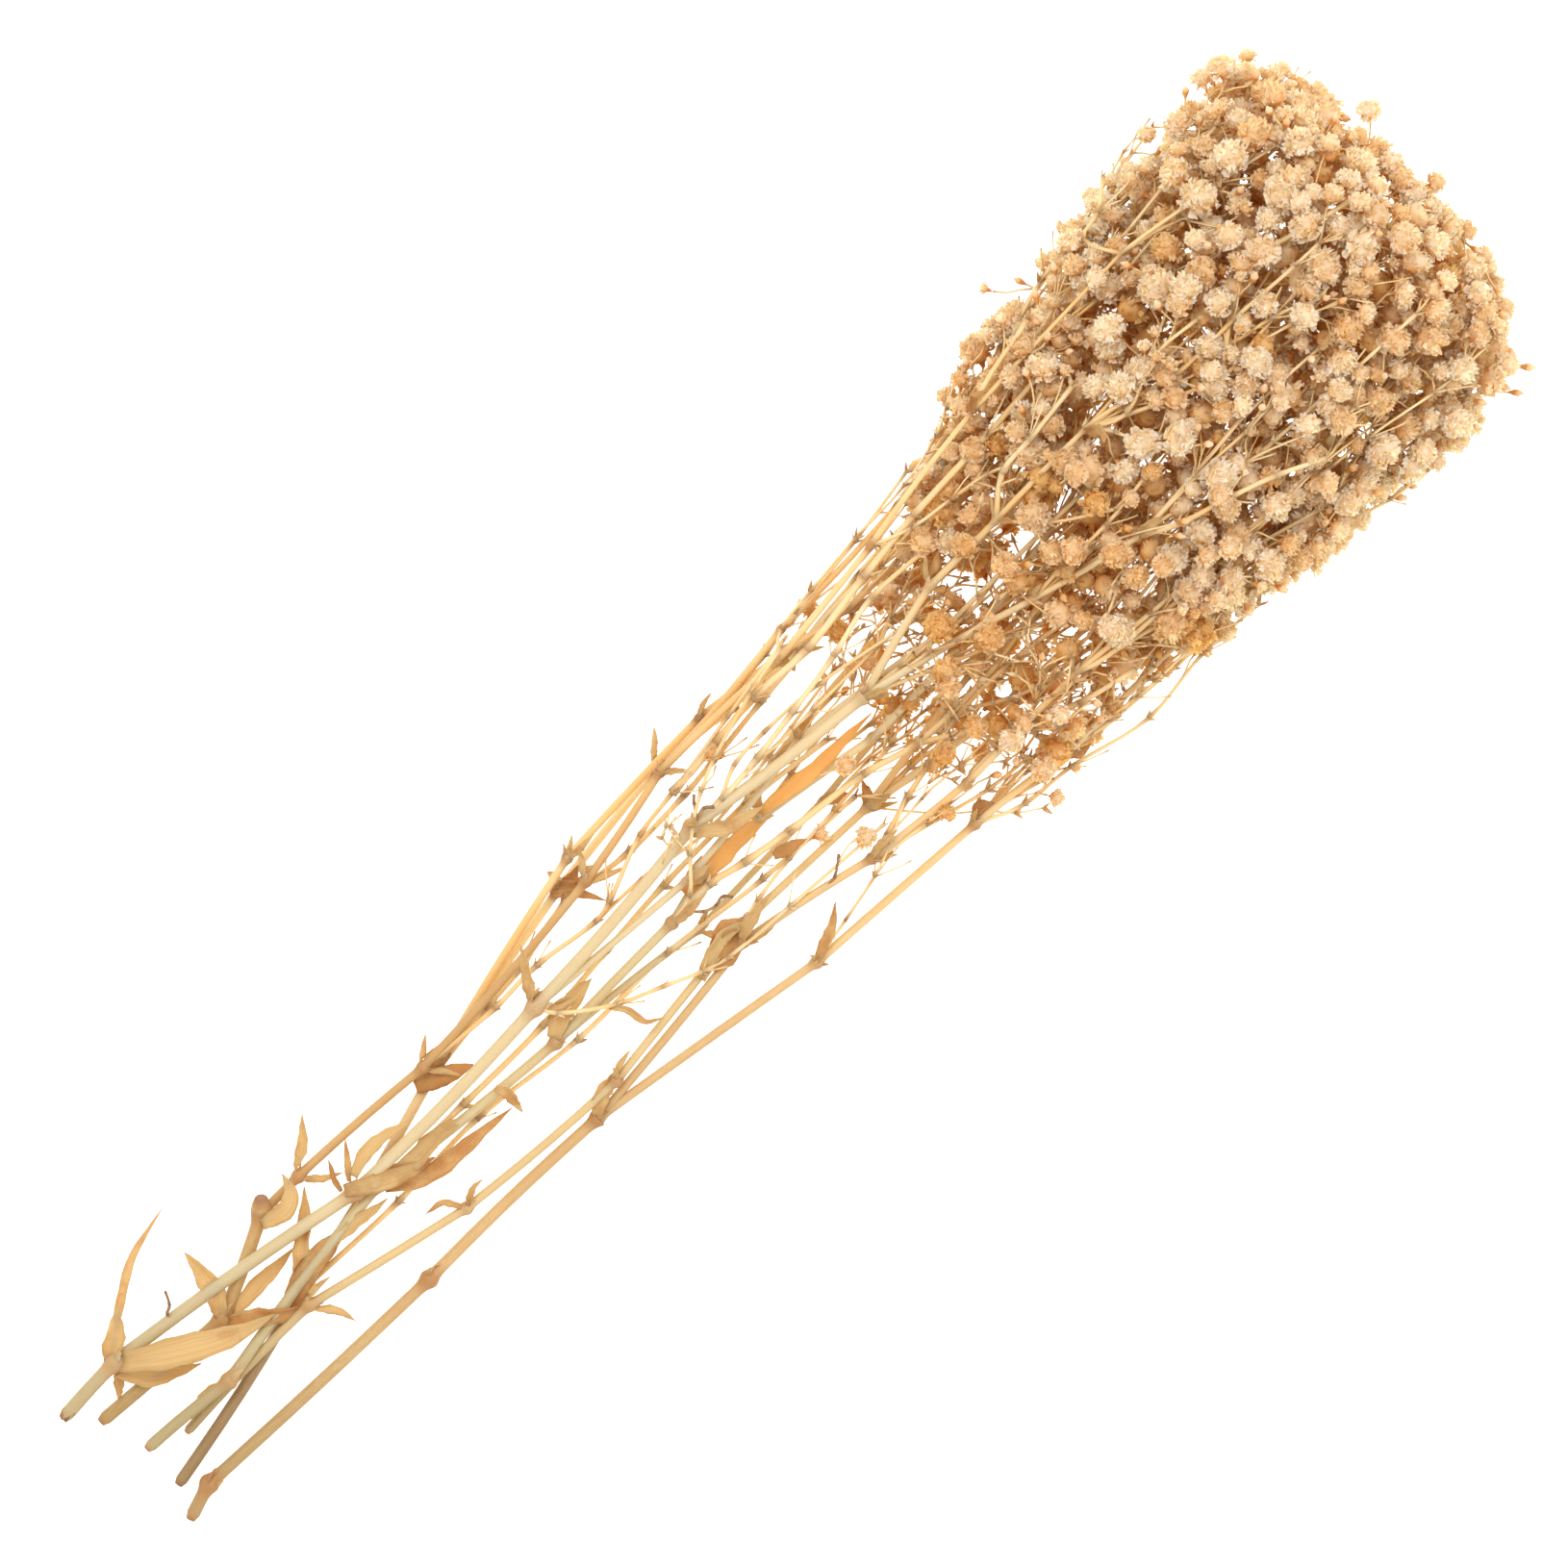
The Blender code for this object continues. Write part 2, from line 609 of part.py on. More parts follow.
def raise_flower(shell, face, foot, centre, radius):
    """A flower on the end of its stalk: base, zigzag rim of petals, inner crown and tip."""
    axis = unit(centre - foot)
    kind = "full" if radius > SMALL_FLOWER_RADIUS else "small" if radius > BUD_RADIUS else "bud"
    sizes = FLOWER_FORMS[kind]
    base_centre = centre - axis * radius * sizes["base"]
    turn = shell.turn_of(face[0], base_centre, axis)
    base = shell.ring(base_centre, axis, [max(STALK_RADIUS, radius * NECK_WIDTH)] * 3, turn)
    shell.stitch(face, base)
    petals = sizes["petals"]
    if petals:
        widths = [radius, radius * PETAL_NOTCH] * petals
        lifts = [-radius * PETAL_DROOP, radius * PETAL_RISE] * petals
        rim = shell.ring(centre, axis, widths, turn, lifts)
        crown_turn = turn + math.pi / petals
        crown = shell.ring(centre + axis * radius * CROWN_RISE, axis,
                           [radius * CROWN_WIDTH] * petals, crown_turn)
        shell.stitch(base, rim)
        shell.stitch(rim[1:] + rim[:1], crown)
    else:
        crown = shell.ring(centre, axis, [radius] * 3, turn)
        shell.stitch(base, crown)
    tip = shell.add([centre + axis * radius * sizes["tip"]])[0]
    shell.cone(crown, tip)


def raise_twig(shell, points, face, foot, twig):
    """Carry a stalk from a three-cornered face to its fork or flower, and on from there."""
    end = points[twig.point]
    if twig.flower:
        raise_flower(shell, face, foot, end, twig.flower)
        return
    ends = [points[child.point] for child in twig.children]
    if len(ends) == 1:
        raise_twig(shell, points, face, foot, twig.children[0])
        return
    outward = unit(sum(unit(place - end) for place in ends))
    axis = unit(outward + unit(end - foot))
    ring, order = fork_ring(shell, end, axis, twig.radius * FORK_SWELL, ends)
    shifts = [ring[k:] + ring[:k] for k in range(3)]
    best = min(shifts, key=lambda turned: sum(
        np.linalg.norm(shell.vertices[a] - shell.vertices[b]) for a, b in zip(face, turned)))
    shell.stitch(face, best)
    tip = shell.add([end + axis * twig.radius * FORK_SWELL])[0]
    for k in range(3):
        corners = [ring[k], ring[(k + 1) % 3], tip]
        if k < len(order):
            raise_twig(shell, points, corners, end, twig.children[order[k]])
        else:
            shell.faces.append(tuple(corners))


def spray_shell(points, foot, twig):
    """One spray as a closed shape, its foot sunk in the joint that bears it."""
    shell = Shell()
    start = points[foot]
    axis = unit(points[twig.point] - start)
    root = start - axis * twig.radius * ROOT_DEPTH
    base = shell.ring(root, axis, [twig.radius * SPRAY_FOOT] * 3)
    shell.cap(base, outward=False)
    raise_twig(shell, points, base, start, twig)
    return shell


def leaf_line(foot, axis, spoke, length, lean, droop):
    """Points along a leaf's middle: it leans out from the stem and its end curls back."""
    steps = 2 + sum(length > limit for limit in LEAF_LENGTHS)
    line = [foot]
    for k in range(1, steps + 1):
        angle = lean + droop * (k / steps)**2
        way = math.cos(angle) * axis + math.sin(angle) * spoke
        line.append(line[-1] + length / steps * way)
    return line


def blade_shell(line, normal, width):
    """A thin twisted blade with a blunt tip: a short one has a keel, a longer one is flat."""
    shell = Shell()
    last = None
    shares = np.linspace(0, 1, len(line))
    outline = np.interp(shares, np.linspace(0, 1, len(LEAF_OUTLINE)), LEAF_OUTLINE)
    for k, place in enumerate(line):
        ahead = unit(line[min(k + 1, len(line) - 1)] - line[max(k - 1, 0)])
        side = unit(np.cross(normal, ahead))
        up = np.cross(ahead, side)
        turned = LEAF_TWIST * shares[k]
        side, up = (side * math.cos(turned) + up * math.sin(turned),
                    up * math.cos(turned) - side * math.sin(turned))
        half = width / 2 * outline[k]
        thick = LEAF_THICKNESS / 2
        left, right, top = side * half, -side * half, up * thick
        if len(line) == 3:
            ring = shell.add([place + left, place + right, place - up * KEEL_DEPTH])
        else:
            ring = shell.add([place + left + top, place + right + top,
                              place + right - top, place + left - top])
        if last is None:
            shell.cap(ring, outward=False)
        else:
            shell.stitch(last, ring)
        last = ring
    shell.cap(last)
    return shell


def rod_room(web, place, radius, joint):
    """Room between a ball and the nearest rod that doesn't meet the joint it belongs to."""
    starts, ends, radii, _ = web.columns
    other = (starts != joint) & (ends != joint)
    foot = web.points[starts[other]]
    run = web.points[ends[other]] - foot
    along = np.sum((place - foot) * run, axis=1) 
    along /= np.maximum(np.sum(run * run, axis=1), SMALLEST)
    nearest = foot + np.clip(along, 0, 1)[:, None] * run
    return float(np.min(np.linalg.norm(nearest - place, axis=1) - radii[other])) - radius


def leaves_of(web, limb, rng):
    """Leaves in pairs at the limb's joints, each turned to a side where it has room."""
    shells = []
    for k, length in enumerate(limb.leaves):
        if not length:
            continue
        point = limb.points[k]
        foot = web.points[point]
        ahead = web.points[limb.points[min(k + 1, len(limb.points) - 1)]] - foot
        behind = foot - web.points[limb.points[max(k - 1, 0)]]
        axis = unit(unit(ahead) + unit(behind)) if k else unit(ahead)
        side, up = across(axis)
        first_turn = rng.random() * 2 * math.pi
        placed = 0
        for step in range(LEAF_TRIES * 2):
            # Opposite leaves are tried in turn, then both a little further round
            turn = first_turn + math.pi * (step % 2) + 2 * math.pi * (step // 2) / LEAF_TRIES
            spoke = math.cos(turn) * side + math.sin(turn) * up
            size = length * (1.0 if placed == 0 else SECOND_LEAF) * rng.uniform(*LEAF_SIZES)
            lean = rng.uniform(*LEAF_LEAN)
            droop = rng.uniform(*LEAF_DROOP)
            width = min(MOST_LEAF_WIDTH, max(LEAST_LEAF_WIDTH, size * LEAF_SLENDER))
            root = foot + spoke * limb.radii[k] * LEAF_ROOT
            line = leaf_line(root, axis, spoke, size, lean, droop)
            room = min(rod_room(web, place, width / 2, point) for place in line[1:])
            if room < LEAF_GAP or min(place[2] for place in line) < width * LEAF_REST:
                continue
            shells.append(blade_shell(line, unit(np.cross(np.cross(axis, spoke), axis)), width))
            last = point
            for place in line[1:]:
                last, before = web.add_late(place), last
                web.add_rod(before, last, width / 2, limb.stem)
            placed += 1
            if placed == 2 or length < LEAST_PAIRED_LEAF:
                break
    return shells


def new_material(name, colour):
    """Dull dry plant material of a colour."""
    material = bpy.data.materials.new(name)
    material.use_nodes = True
    shader = material.node_tree.nodes["Principled BSDF"]
    shader.inputs["Base Color"].default_value = (*colour, 1.0)
    shader.inputs["Roughness"].default_value = DRY_ROUGHNESS
    shader.inputs["Metallic"].default_value = 0.0
    return material


def object_of(shell, name, collection):
    """A shape as an object in metres, with the bunch's middle at the origin."""
    mesh = bpy.data.meshes.new(name)
    middle = np.array((*BUNCH_MIDDLE, 0.0))
    vertices = [(vertex - middle) * MM for vertex in shell.vertices]
    mesh.from_pydata(vertices, [], shell.faces)
    mesh.update()
    body = bpy.data.objects.new(name, mesh)
    collection.objects.link(body)
    return body


def fuse(name, shells, material):
    """One body from all shapes of a stem, by one Boolean union, cut flat where it lies."""
    pieces = bpy.data.collections.new(name + "_pieces")
    bpy.context.scene.collection.children.link(pieces)
    body = object_of(shells[0], name, bpy.context.scene.collection)
    for number, shell in enumerate(shells[1:]):
        object_of(shell, f"{name}_{number}", pieces)
    union = body.modifiers.new("union", "BOOLEAN")
    union.operation = "UNION"
    union.operand_type = "COLLECTION"
    union.collection = pieces
    union.solver = "MANIFOLD"
    graph = bpy.context.evaluated_depsgraph_get()
    joined = bpy.data.meshes.new_from_object(body.evaluated_get(graph))
    body.modifiers.remove(union)
    body.data = joined
    joined.name = name
    for piece in list(pieces.objects):
        bpy.data.objects.remove(piece)
    bpy.data.collections.remove(pieces)
    flatten_underside(joined)
    joined.materials.clear()
    joined.materials.append(material)
    return body


def flatten_underside(mesh):
    """Cut off what presses below the surface, which leaves small flat spots to lie on."""
    shape = bmesh.new()
    shape.from_mesh(mesh)
    bmesh.ops.triangulate(shape, faces=shape.faces)
    cut = bmesh.ops.bisect_plane(
        shape, geom=shape.verts[:] + shape.edges[:] + shape.faces[:], dist=CUT_MARGIN,
        plane_co=(0, 0, 0), plane_no=(0, 0, -1), clear_outer=True)
    rim = [edge for edge in cut["geom_cut"] if isinstance(edge, bmesh.types.BMEdge)]
    bmesh.ops.holes_fill(shape, edges=rim)
    bmesh.ops.triangulate(shape, faces=shape.faces)
    shape.to_mesh(mesh)
    shape.free()


def build():
    """Plant, grow and settle the whole bunch, then make one body of each stem."""
    web = Web()
    rng = np.random.default_rng(SEED)
    limbs = plant(web)
    flower_up(web, limbs, rng)
    web.settle(SETTLE_ROUNDS, PAIR_REFRESH)
    for number, plan in enumerate(STEMS):
        shells = []
        for limb in [limb for limb in limbs if limb.stem == number]:
            places = [web.points[point] for point in limb.points]
            line, widths = stem_line(places, limb.radii)
            shell = Shell()
            tube(shell, line, widths, TRUNK_SIDES if limb.parent is None else LIMB_SIDES)
            shells.append(shell)
            shells += [spray_shell(web.points, foot, twig) for foot, twig in limb.sprays]
            shells += leaves_of(web, limb, rng)
        fuse(plan["name"], shells, new_material(plan["name"], plan["colour"]))


def main():
    """Clear the scene and build the bouquet."""
    for old in list(bpy.data.objects):
        bpy.data.objects.remove(old)
    build()


main()
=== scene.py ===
"""Dried baby's breath bouquet: the looks of six cut stems that lie together as one bunch.

The growth plan is in millimetres: X runs from the cut ends to the tip of the head, Y across the
bunch and Z up from the surface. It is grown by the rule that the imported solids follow, so every
joint, fork, flower and leaf is where its solid is. A mesh is in metres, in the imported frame.
"""

import json
import logging
import math
import sys
from collections.abc import Callable, Iterable
from dataclasses import dataclass, field, replace
from enum import Enum

import bmesh
import bpy
import numpy as np
from mathutils import Matrix, Vector

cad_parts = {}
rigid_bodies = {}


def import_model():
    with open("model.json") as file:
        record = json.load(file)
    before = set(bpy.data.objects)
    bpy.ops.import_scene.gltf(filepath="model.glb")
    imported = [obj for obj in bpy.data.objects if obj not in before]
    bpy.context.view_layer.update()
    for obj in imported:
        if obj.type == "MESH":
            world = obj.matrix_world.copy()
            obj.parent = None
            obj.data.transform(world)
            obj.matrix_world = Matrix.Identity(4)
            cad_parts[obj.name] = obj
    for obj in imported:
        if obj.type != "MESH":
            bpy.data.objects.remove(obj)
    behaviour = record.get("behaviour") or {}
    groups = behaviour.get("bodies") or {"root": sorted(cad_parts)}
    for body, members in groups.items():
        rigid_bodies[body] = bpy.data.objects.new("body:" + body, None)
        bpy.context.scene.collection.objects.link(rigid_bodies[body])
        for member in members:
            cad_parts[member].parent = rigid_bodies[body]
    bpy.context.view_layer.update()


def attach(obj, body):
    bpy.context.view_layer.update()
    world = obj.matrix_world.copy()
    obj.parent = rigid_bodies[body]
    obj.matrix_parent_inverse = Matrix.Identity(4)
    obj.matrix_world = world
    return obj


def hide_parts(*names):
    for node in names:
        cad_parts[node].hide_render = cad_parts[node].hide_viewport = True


log = logging.getLogger("bouquet")

MM = 0.001
SEED = 11
DETAIL_SEED = 5
BUNCH_MIDDLE = np.array((274.0, -4.8, 0.0))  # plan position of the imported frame's origin
BROKEN_STEM = 1  # its trunk ends in a hollow stub, with a limb growing on beside it
SMALLEST = 1e-9
SHEEN = 0.35  # specular level of every dry surface
FULL_TURN = 2 * math.pi

Array = np.ndarray
Draws = np.random.Generator
Span = tuple[float, float]
Place = tuple[float, float, float]
Values = tuple[float, ...]
Joint = tuple[float, float, float, float]
Colour = tuple[float, float, float, float]
Item = bpy.types.Object
Mesh = bpy.types.Mesh
Material = bpy.types.Material
Socket = bpy.types.NodeSocket


def unit(vector: Array) -> Array:
    """The vector at length 1."""
    return vector / max(np.linalg.norm(vector), SMALLEST)


def lengths(rows: Array) -> Array:
    """The length of each row."""
    return np.linalg.norm(rows, axis=1)


def dots(first: Array, second: Array) -> Array:
    """The dot product of each pair of rows."""
    return np.sum(first * second, axis=1)


def turned(first: Array, second: Array, angle: float) -> Array:
    """The direction at an angle from the first, towards the second."""
    return math.cos(angle) * first + math.sin(angle) * second


def across(axis: Array) -> tuple[Array, Array]:
    """A level direction square to an axis of length 1, and the one square to both."""
    side = unit(np.cross(axis, (0.0, 0.0, 1.0) if abs(axis[2]) < 0.9 else (0.0, 1.0, 0.0)))
    return side, np.cross(axis, side)


def spoke_of(axis: Array, turn: float) -> Array:
    """The direction away from an axis, at an angle round it."""
    return turned(*across(axis), turn)


def along_line(stations: Array, marks: Array, line: Array) -> Array:
    """Points on a line at some stations, where its own points are at the marks."""
    return np.array([np.interp(stations, marks, column) for column in line.T]).T


def waves(place: Array, runs: Place) -> float:
    """A number from -1 to 1 that swells and sinks through the bunch, on its own run each way."""
    return math.prod(math.sin(value / run + run) for value, run in zip(place, runs))


def placed(point: Array) -> Array:
    """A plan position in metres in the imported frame."""
    return (point - BUNCH_MIDDLE) * MM


def daylight(red: int, green: int, blue: int) -> Colour:
    """A colour as a display shows it, made linear.

    Args:
        red: Red from 0 to 255.
        green: Green from 0 to 255.
        blue: Blue from 0 to 255.

    Returns:
        The linear colour with full alpha.
    """
    shares = [value / 255 for value in (red, green, blue)]
    line = [s / 12.92 if s <= 0.04045 else ((s + 0.055) / 1.055) ** 2.4 for s in shares]
    return (*line, 1.0)


@dataclass(frozen=True)
class StemPlan:
    """Route of one stem: joints as (x, y, z, leaf length), and the radius at both ends.

    A limb is (joint it leaves, its own joints, radii), with joints counted from the cut end
    through the trunk and the limbs before it.
    """

    trunk: tuple[Joint, ...]
    radii: Span
    limbs: tuple[tuple[int, tuple[Joint, ...], Span], ...]


STEMS: dict[str, StemPlan] = {
    "flowering_stem_1": StemPlan(
        ((0.5, 24.8, 7, 0), (21, 25.4, 9, 56), (109, 9.3, 11.4, 32), (187, 9.5, 22, 20),
         (259, 13.7, 33, 16), (323, 4.1, 42, 12)),
        (2.2, 1.7),
        (
            (5, ((360, 13, 53, 9), (387, 12.5, 62, 8), (424, 12.5, 74, 0), (462, -6, 82, 0)), (1.4, 1)),
            (5, ((378, -11.5, 56, 9), (413, -21, 68, 0), (458, -18, 80, 0)), (1.3, 1)),
            (3, ((246, 3.5, 26, 12), (300, 9, 32, 0), (352, 1, 44, 0), (410, 0, 60, 0)), (1.2, 0.9)),
        ),
    ),
    "flowering_stem_2": StemPlan(
        ((6, 15.6, 1.6, 0), (52.7, 11.2, 5, 26), (84, 25.2, 8, 0)),
        (2.1, 2.1),
        (
            (2, ((100, 25, 10, 18), (150, 21, 13, 12), (225, 25, 24, 14), (264, 32, 30, 10)),
             (1.5, 1.2)),
            (6, ((312, 30, 36, 8), (356, 34, 50, 0), (405, 40, 64, 0), (468, 41, 74, 0)), (1.2, 0.9)),
            (6, ((320, 36, 28, 8), (371, 37, 34, 0), (425, 47, 42, 0), (480, 52, 44, 0)), (1.2, 0.9)),
        ),
    ),
    "flowering_stem_3": StemPlan(
        ((10.3, -0.1, 6, 0), (41, -3.5, 9, 24), (115, 6, 8, 28), (183.6, -2.4, 14, 20),
         (234, -2.2, 20, 14), (275, 1, 24, 26)),
        (1.9, 1.3),
        (
            (5, ((316, -6.5, 28, 8), (366, -6, 36, 0), (420, 4, 44, 0), (482, -2, 46, 0)), (1.3, 1)),
            (4, ((290, 10, 12, 8), (345, 14, 14, 0), (400, 14, 17, 0), (455, 18, 19, 0)), (1.2, 0.9)),
            (3, ((238, -9.5, 12, 13), (292, -9, 12, 0), (350, -6, 14, 0), (410, -6, 20, 0)),
             (1.2, 0.9)),
        ),
    ),
    "flowering_stem_4": StemPlan(
        ((8.6, -13.9, 1.6, 0), (75.7, 0, 4, 36), (148, 17, 7, 24)),
        (1.9, 1.6),
        (
            (2, ((217, 29.4, 13, 14), (264, 34, 16, 12), (320, 28, 18, 8), (372, 29, 22, 0),
             (430, 40, 24, 0), (476, 42, 24, 0)), (1.5, 0.9)),
            (2, ((226, 34, 21, 12), (284, 35, 25, 10), (338, 26, 30, 0), (396, 24, 32, 0),
             (455, 24, 36, 0)), (1.3, 0.9)),
        ),
    ),
    "flowering_stem_5": StemPlan(
        ((21.4, -4.9, 1.3, 0), (74.6, -4.5, 12, 14), (128.6, -18.1, 9, 14), (188, -23.6, 13.4, 12),
         (249, -17.6, 17, 16), (300, -20, 17, 10)),
        (1.5, 1.2),
        (
            (5, ((356, -28.3, 18, 0), (412, -30, 20, 0), (468, -28, 22, 0)), (1.2, 0.9)),
            (5, ((350, -14, 26, 0), (404, -16, 34, 0), (462, -20, 38, 0)), (1.2, 0.9)),
        ),
    ),
    "flowering_stem_6": StemPlan(
        ((3.8, -23.7, 1.6, 0), (13.8, -20.8, 2.6, 5), (105, -25.1, 5, 6), (176, -27.5, 9, 16)),
        (2.1, 1.8),
        (
            (3, ((256, -41.8, 14, 14), (319, -46.6, 22, 10), (353, -51, 28, 6), (402, -52, 38, 0),
             (462, -56, 42, 0)), (1.5, 0.9)),
            (3, ((245, -21.6, 19, 20), (290, -31.6, 28, 14), (326, -36, 36, 8), (372, -36, 50, 0),
             (424, -42, 62, 0), (470, -44, 68, 0)), (1.4, 0.9)),
        ),
    ),
}


@dataclass(frozen=True)
class LeafPlan:
    """A leaf that shows in full: its stem's number, middle line, width and finish.

    Brown is how dark it has dried, from 0 to 1, or to 2 where it has gone amber, and wrap is how
    far each edge bends down round the stem, in radians.
    """

    stem: int
    line: tuple[Place, ...]
    width: float
    brown: float
    wrap: float = 0.0


SHOWN_LEAVES: tuple[LeafPlan, ...] = tuple(LeafPlan(*row) for row in (
    (0, ((20, 26.5, 9.5), (26, 30.5, 11.5), (34, 36, 11)), 6.4, 0.35),
    (0, ((24, 29, 10), (33, 35.5, 12), (46.3, 44, 9), (64.1, 47.9, 5)), 3, 0.35),
    (0, ((22, 24, 11), (33, 16.3, 14.5), (45.2, 8.8, 15), (55.9, 3.8, 13.5), (65.5, 1, 12)), 9.6, 0.3),
    (0, ((19, 23, 7.5), (25.5, 13, 5), (38.3, 6.4, 3.5)), 6, 0),
    (0, ((21, 24, 7), (17, 20, 4.5), (12.5, 16.4, 2)), 3.6, 0.5),
    (0, ((107, 12, 14), (115.3, 6.4, 15.5), (123, 2.6, 13), (133, -0.5, 10)), 7.6, 0.6, 1.2),
    (0, ((112, 13, 15), (119, 15.6, 16), (127.1, 15, 15.5), (136.5, 12.4, 15)), 4.6, 0.15),
    (0, ((106, 12.5, 12.5), (107.4, 17, 13.5), (110.1, 22, 12)), 2, 0.8),
    (0, ((110, 13, 14), (114.1, 17.5, 16.5), (118.6, 22.8, 17)), 2.2, 0.6),
    (1, ((53, 12, 6.5), (57, 18.5, 9.5), (59.1, 26.4, 9), (59, 33.5, 6)), 6.6, 0.3),
    (1, ((54, 9.5, 7.5), (61.3, 3.6, 10.5), (68.2, -1.8, 10.5), (75, -5.4, 9)), 5.6, 0.75),
    (1, ((56, 10.5, 5), (70.7, 10.5, 4), (83.1, 10.9, 3)), 5.4, 0),
    (1, ((82, 22.5, 10), (90.5, 20.1, 13), (95.5, 22.9, 12), (97, 29, 9)), 6.4, 0.2, 0.7),
    (3, ((70, -0.8, 6.6), (77, 2, 9), (86.1, 3.7, 9.5), (98.5, 3.8, 8)), 11, 0.7, 1.5),
    (3, ((77, 3, 7), (89.5, 12.2, 8), (98.6, 21.5, 6)), 5.4, 0.4),
    (3, ((93.6, 3.7, 9), (104.4, 2.2, 10), (113.9, 1, 8)), 4, 0.2),
    (2, ((41, -3.5, 8), (31.8, -1.4, 4.5), (20.9, -5.2, 2)), 4.4, 0.1),
    (2, ((116, 4, 9.5), (123.3, -2.1, 8), (135.3, -4.1, 9), (146.8, -5.5, 10), (159.9, -6.7, 8)), 5.8,
     0.7),
    (2, ((118, 6, 10), (128.9, 2.9, 12), (140, 3.6, 12.5), (150, 1.2, 11)), 6, 0.3),
    (3, ((144, 18.5, 9), (151, 15.5, 11.5), (161.2, 10.8, 10)), 8, 0.85, 1.2),
    (2, ((161, 1, 15), (162.8, -3.5, 16), (161.4, -10, 13)), 3.6, 0.5),
    (4, ((128.6, -17.5, 10), (125, -11.5, 12), (118.5, -10.5, 10)), 2.2, 0.5),
    (4, ((129, -18, 10.5), (134.5, -15, 12.5), (138.5, -15.5, 11)), 2.2, 0.6),
    (2, ((184, -1, 15.5), (192, 3, 17), (205, 3.4, 16)), 7, 0.2),
    (3, ((218, 30.5, 14.5), (222, 25.5, 17.5), (229, 26.5, 16)), 4.4, 0.9),
    (4, ((246, -18.5, 18.5), (238, -22, 20), (229.5, -19, 17)), 5.4, 0.95),
    (4, ((250, -18, 19), (243.5, -14, 21), (235.5, -16, 19)), 4.4, 0.8),
    (5, ((256, -41.5, 15.5), (266, -38, 18), (273, -33, 17)), 3.4, 0.7),
    (5, ((176, -27, 10.5), (183, -22.5, 13.5), (193.5, -22.5, 12)), 5, 0.4),
    (2, ((243, 1, 21), (263.1, 1.6, 26), (282.5, -0.6, 24)), 6.4, 1.8),
    (2, ((276, 2, 25), (298, -0.5, 31), (321, -1, 30)), 5, 2),
    (0, ((258, 12, 34), (267, 5.5, 36), (279, 2.5, 34)), 5, 0.4),
    (5, ((228, -20.5, 17), (242, -15.5, 21), (252, -19, 20)), 5, 0.2),
    (3, ((214.5, 30, 15), (221, 24, 19), (225, 16.5, 18)), 3, 0.8),
    (2, ((270, -10, 26), (275, -11.5, 29), (280.5, -13.5, 28)), 4.4, 0.9),
    (2, ((202.6, -6.5, 19), (206.5, -11, 21), (206.5, -17.5, 20), (212, -20.5, 18)), 2.4, 0.5),
))


@dataclass(frozen=True)
class ShootPlan:
    """A side stem that shows: its stem's number, its line, its radius and how burnt it is."""

    stem: int
    line: tuple[Place, ...]
    radius: float
    burnt: float = 0.0


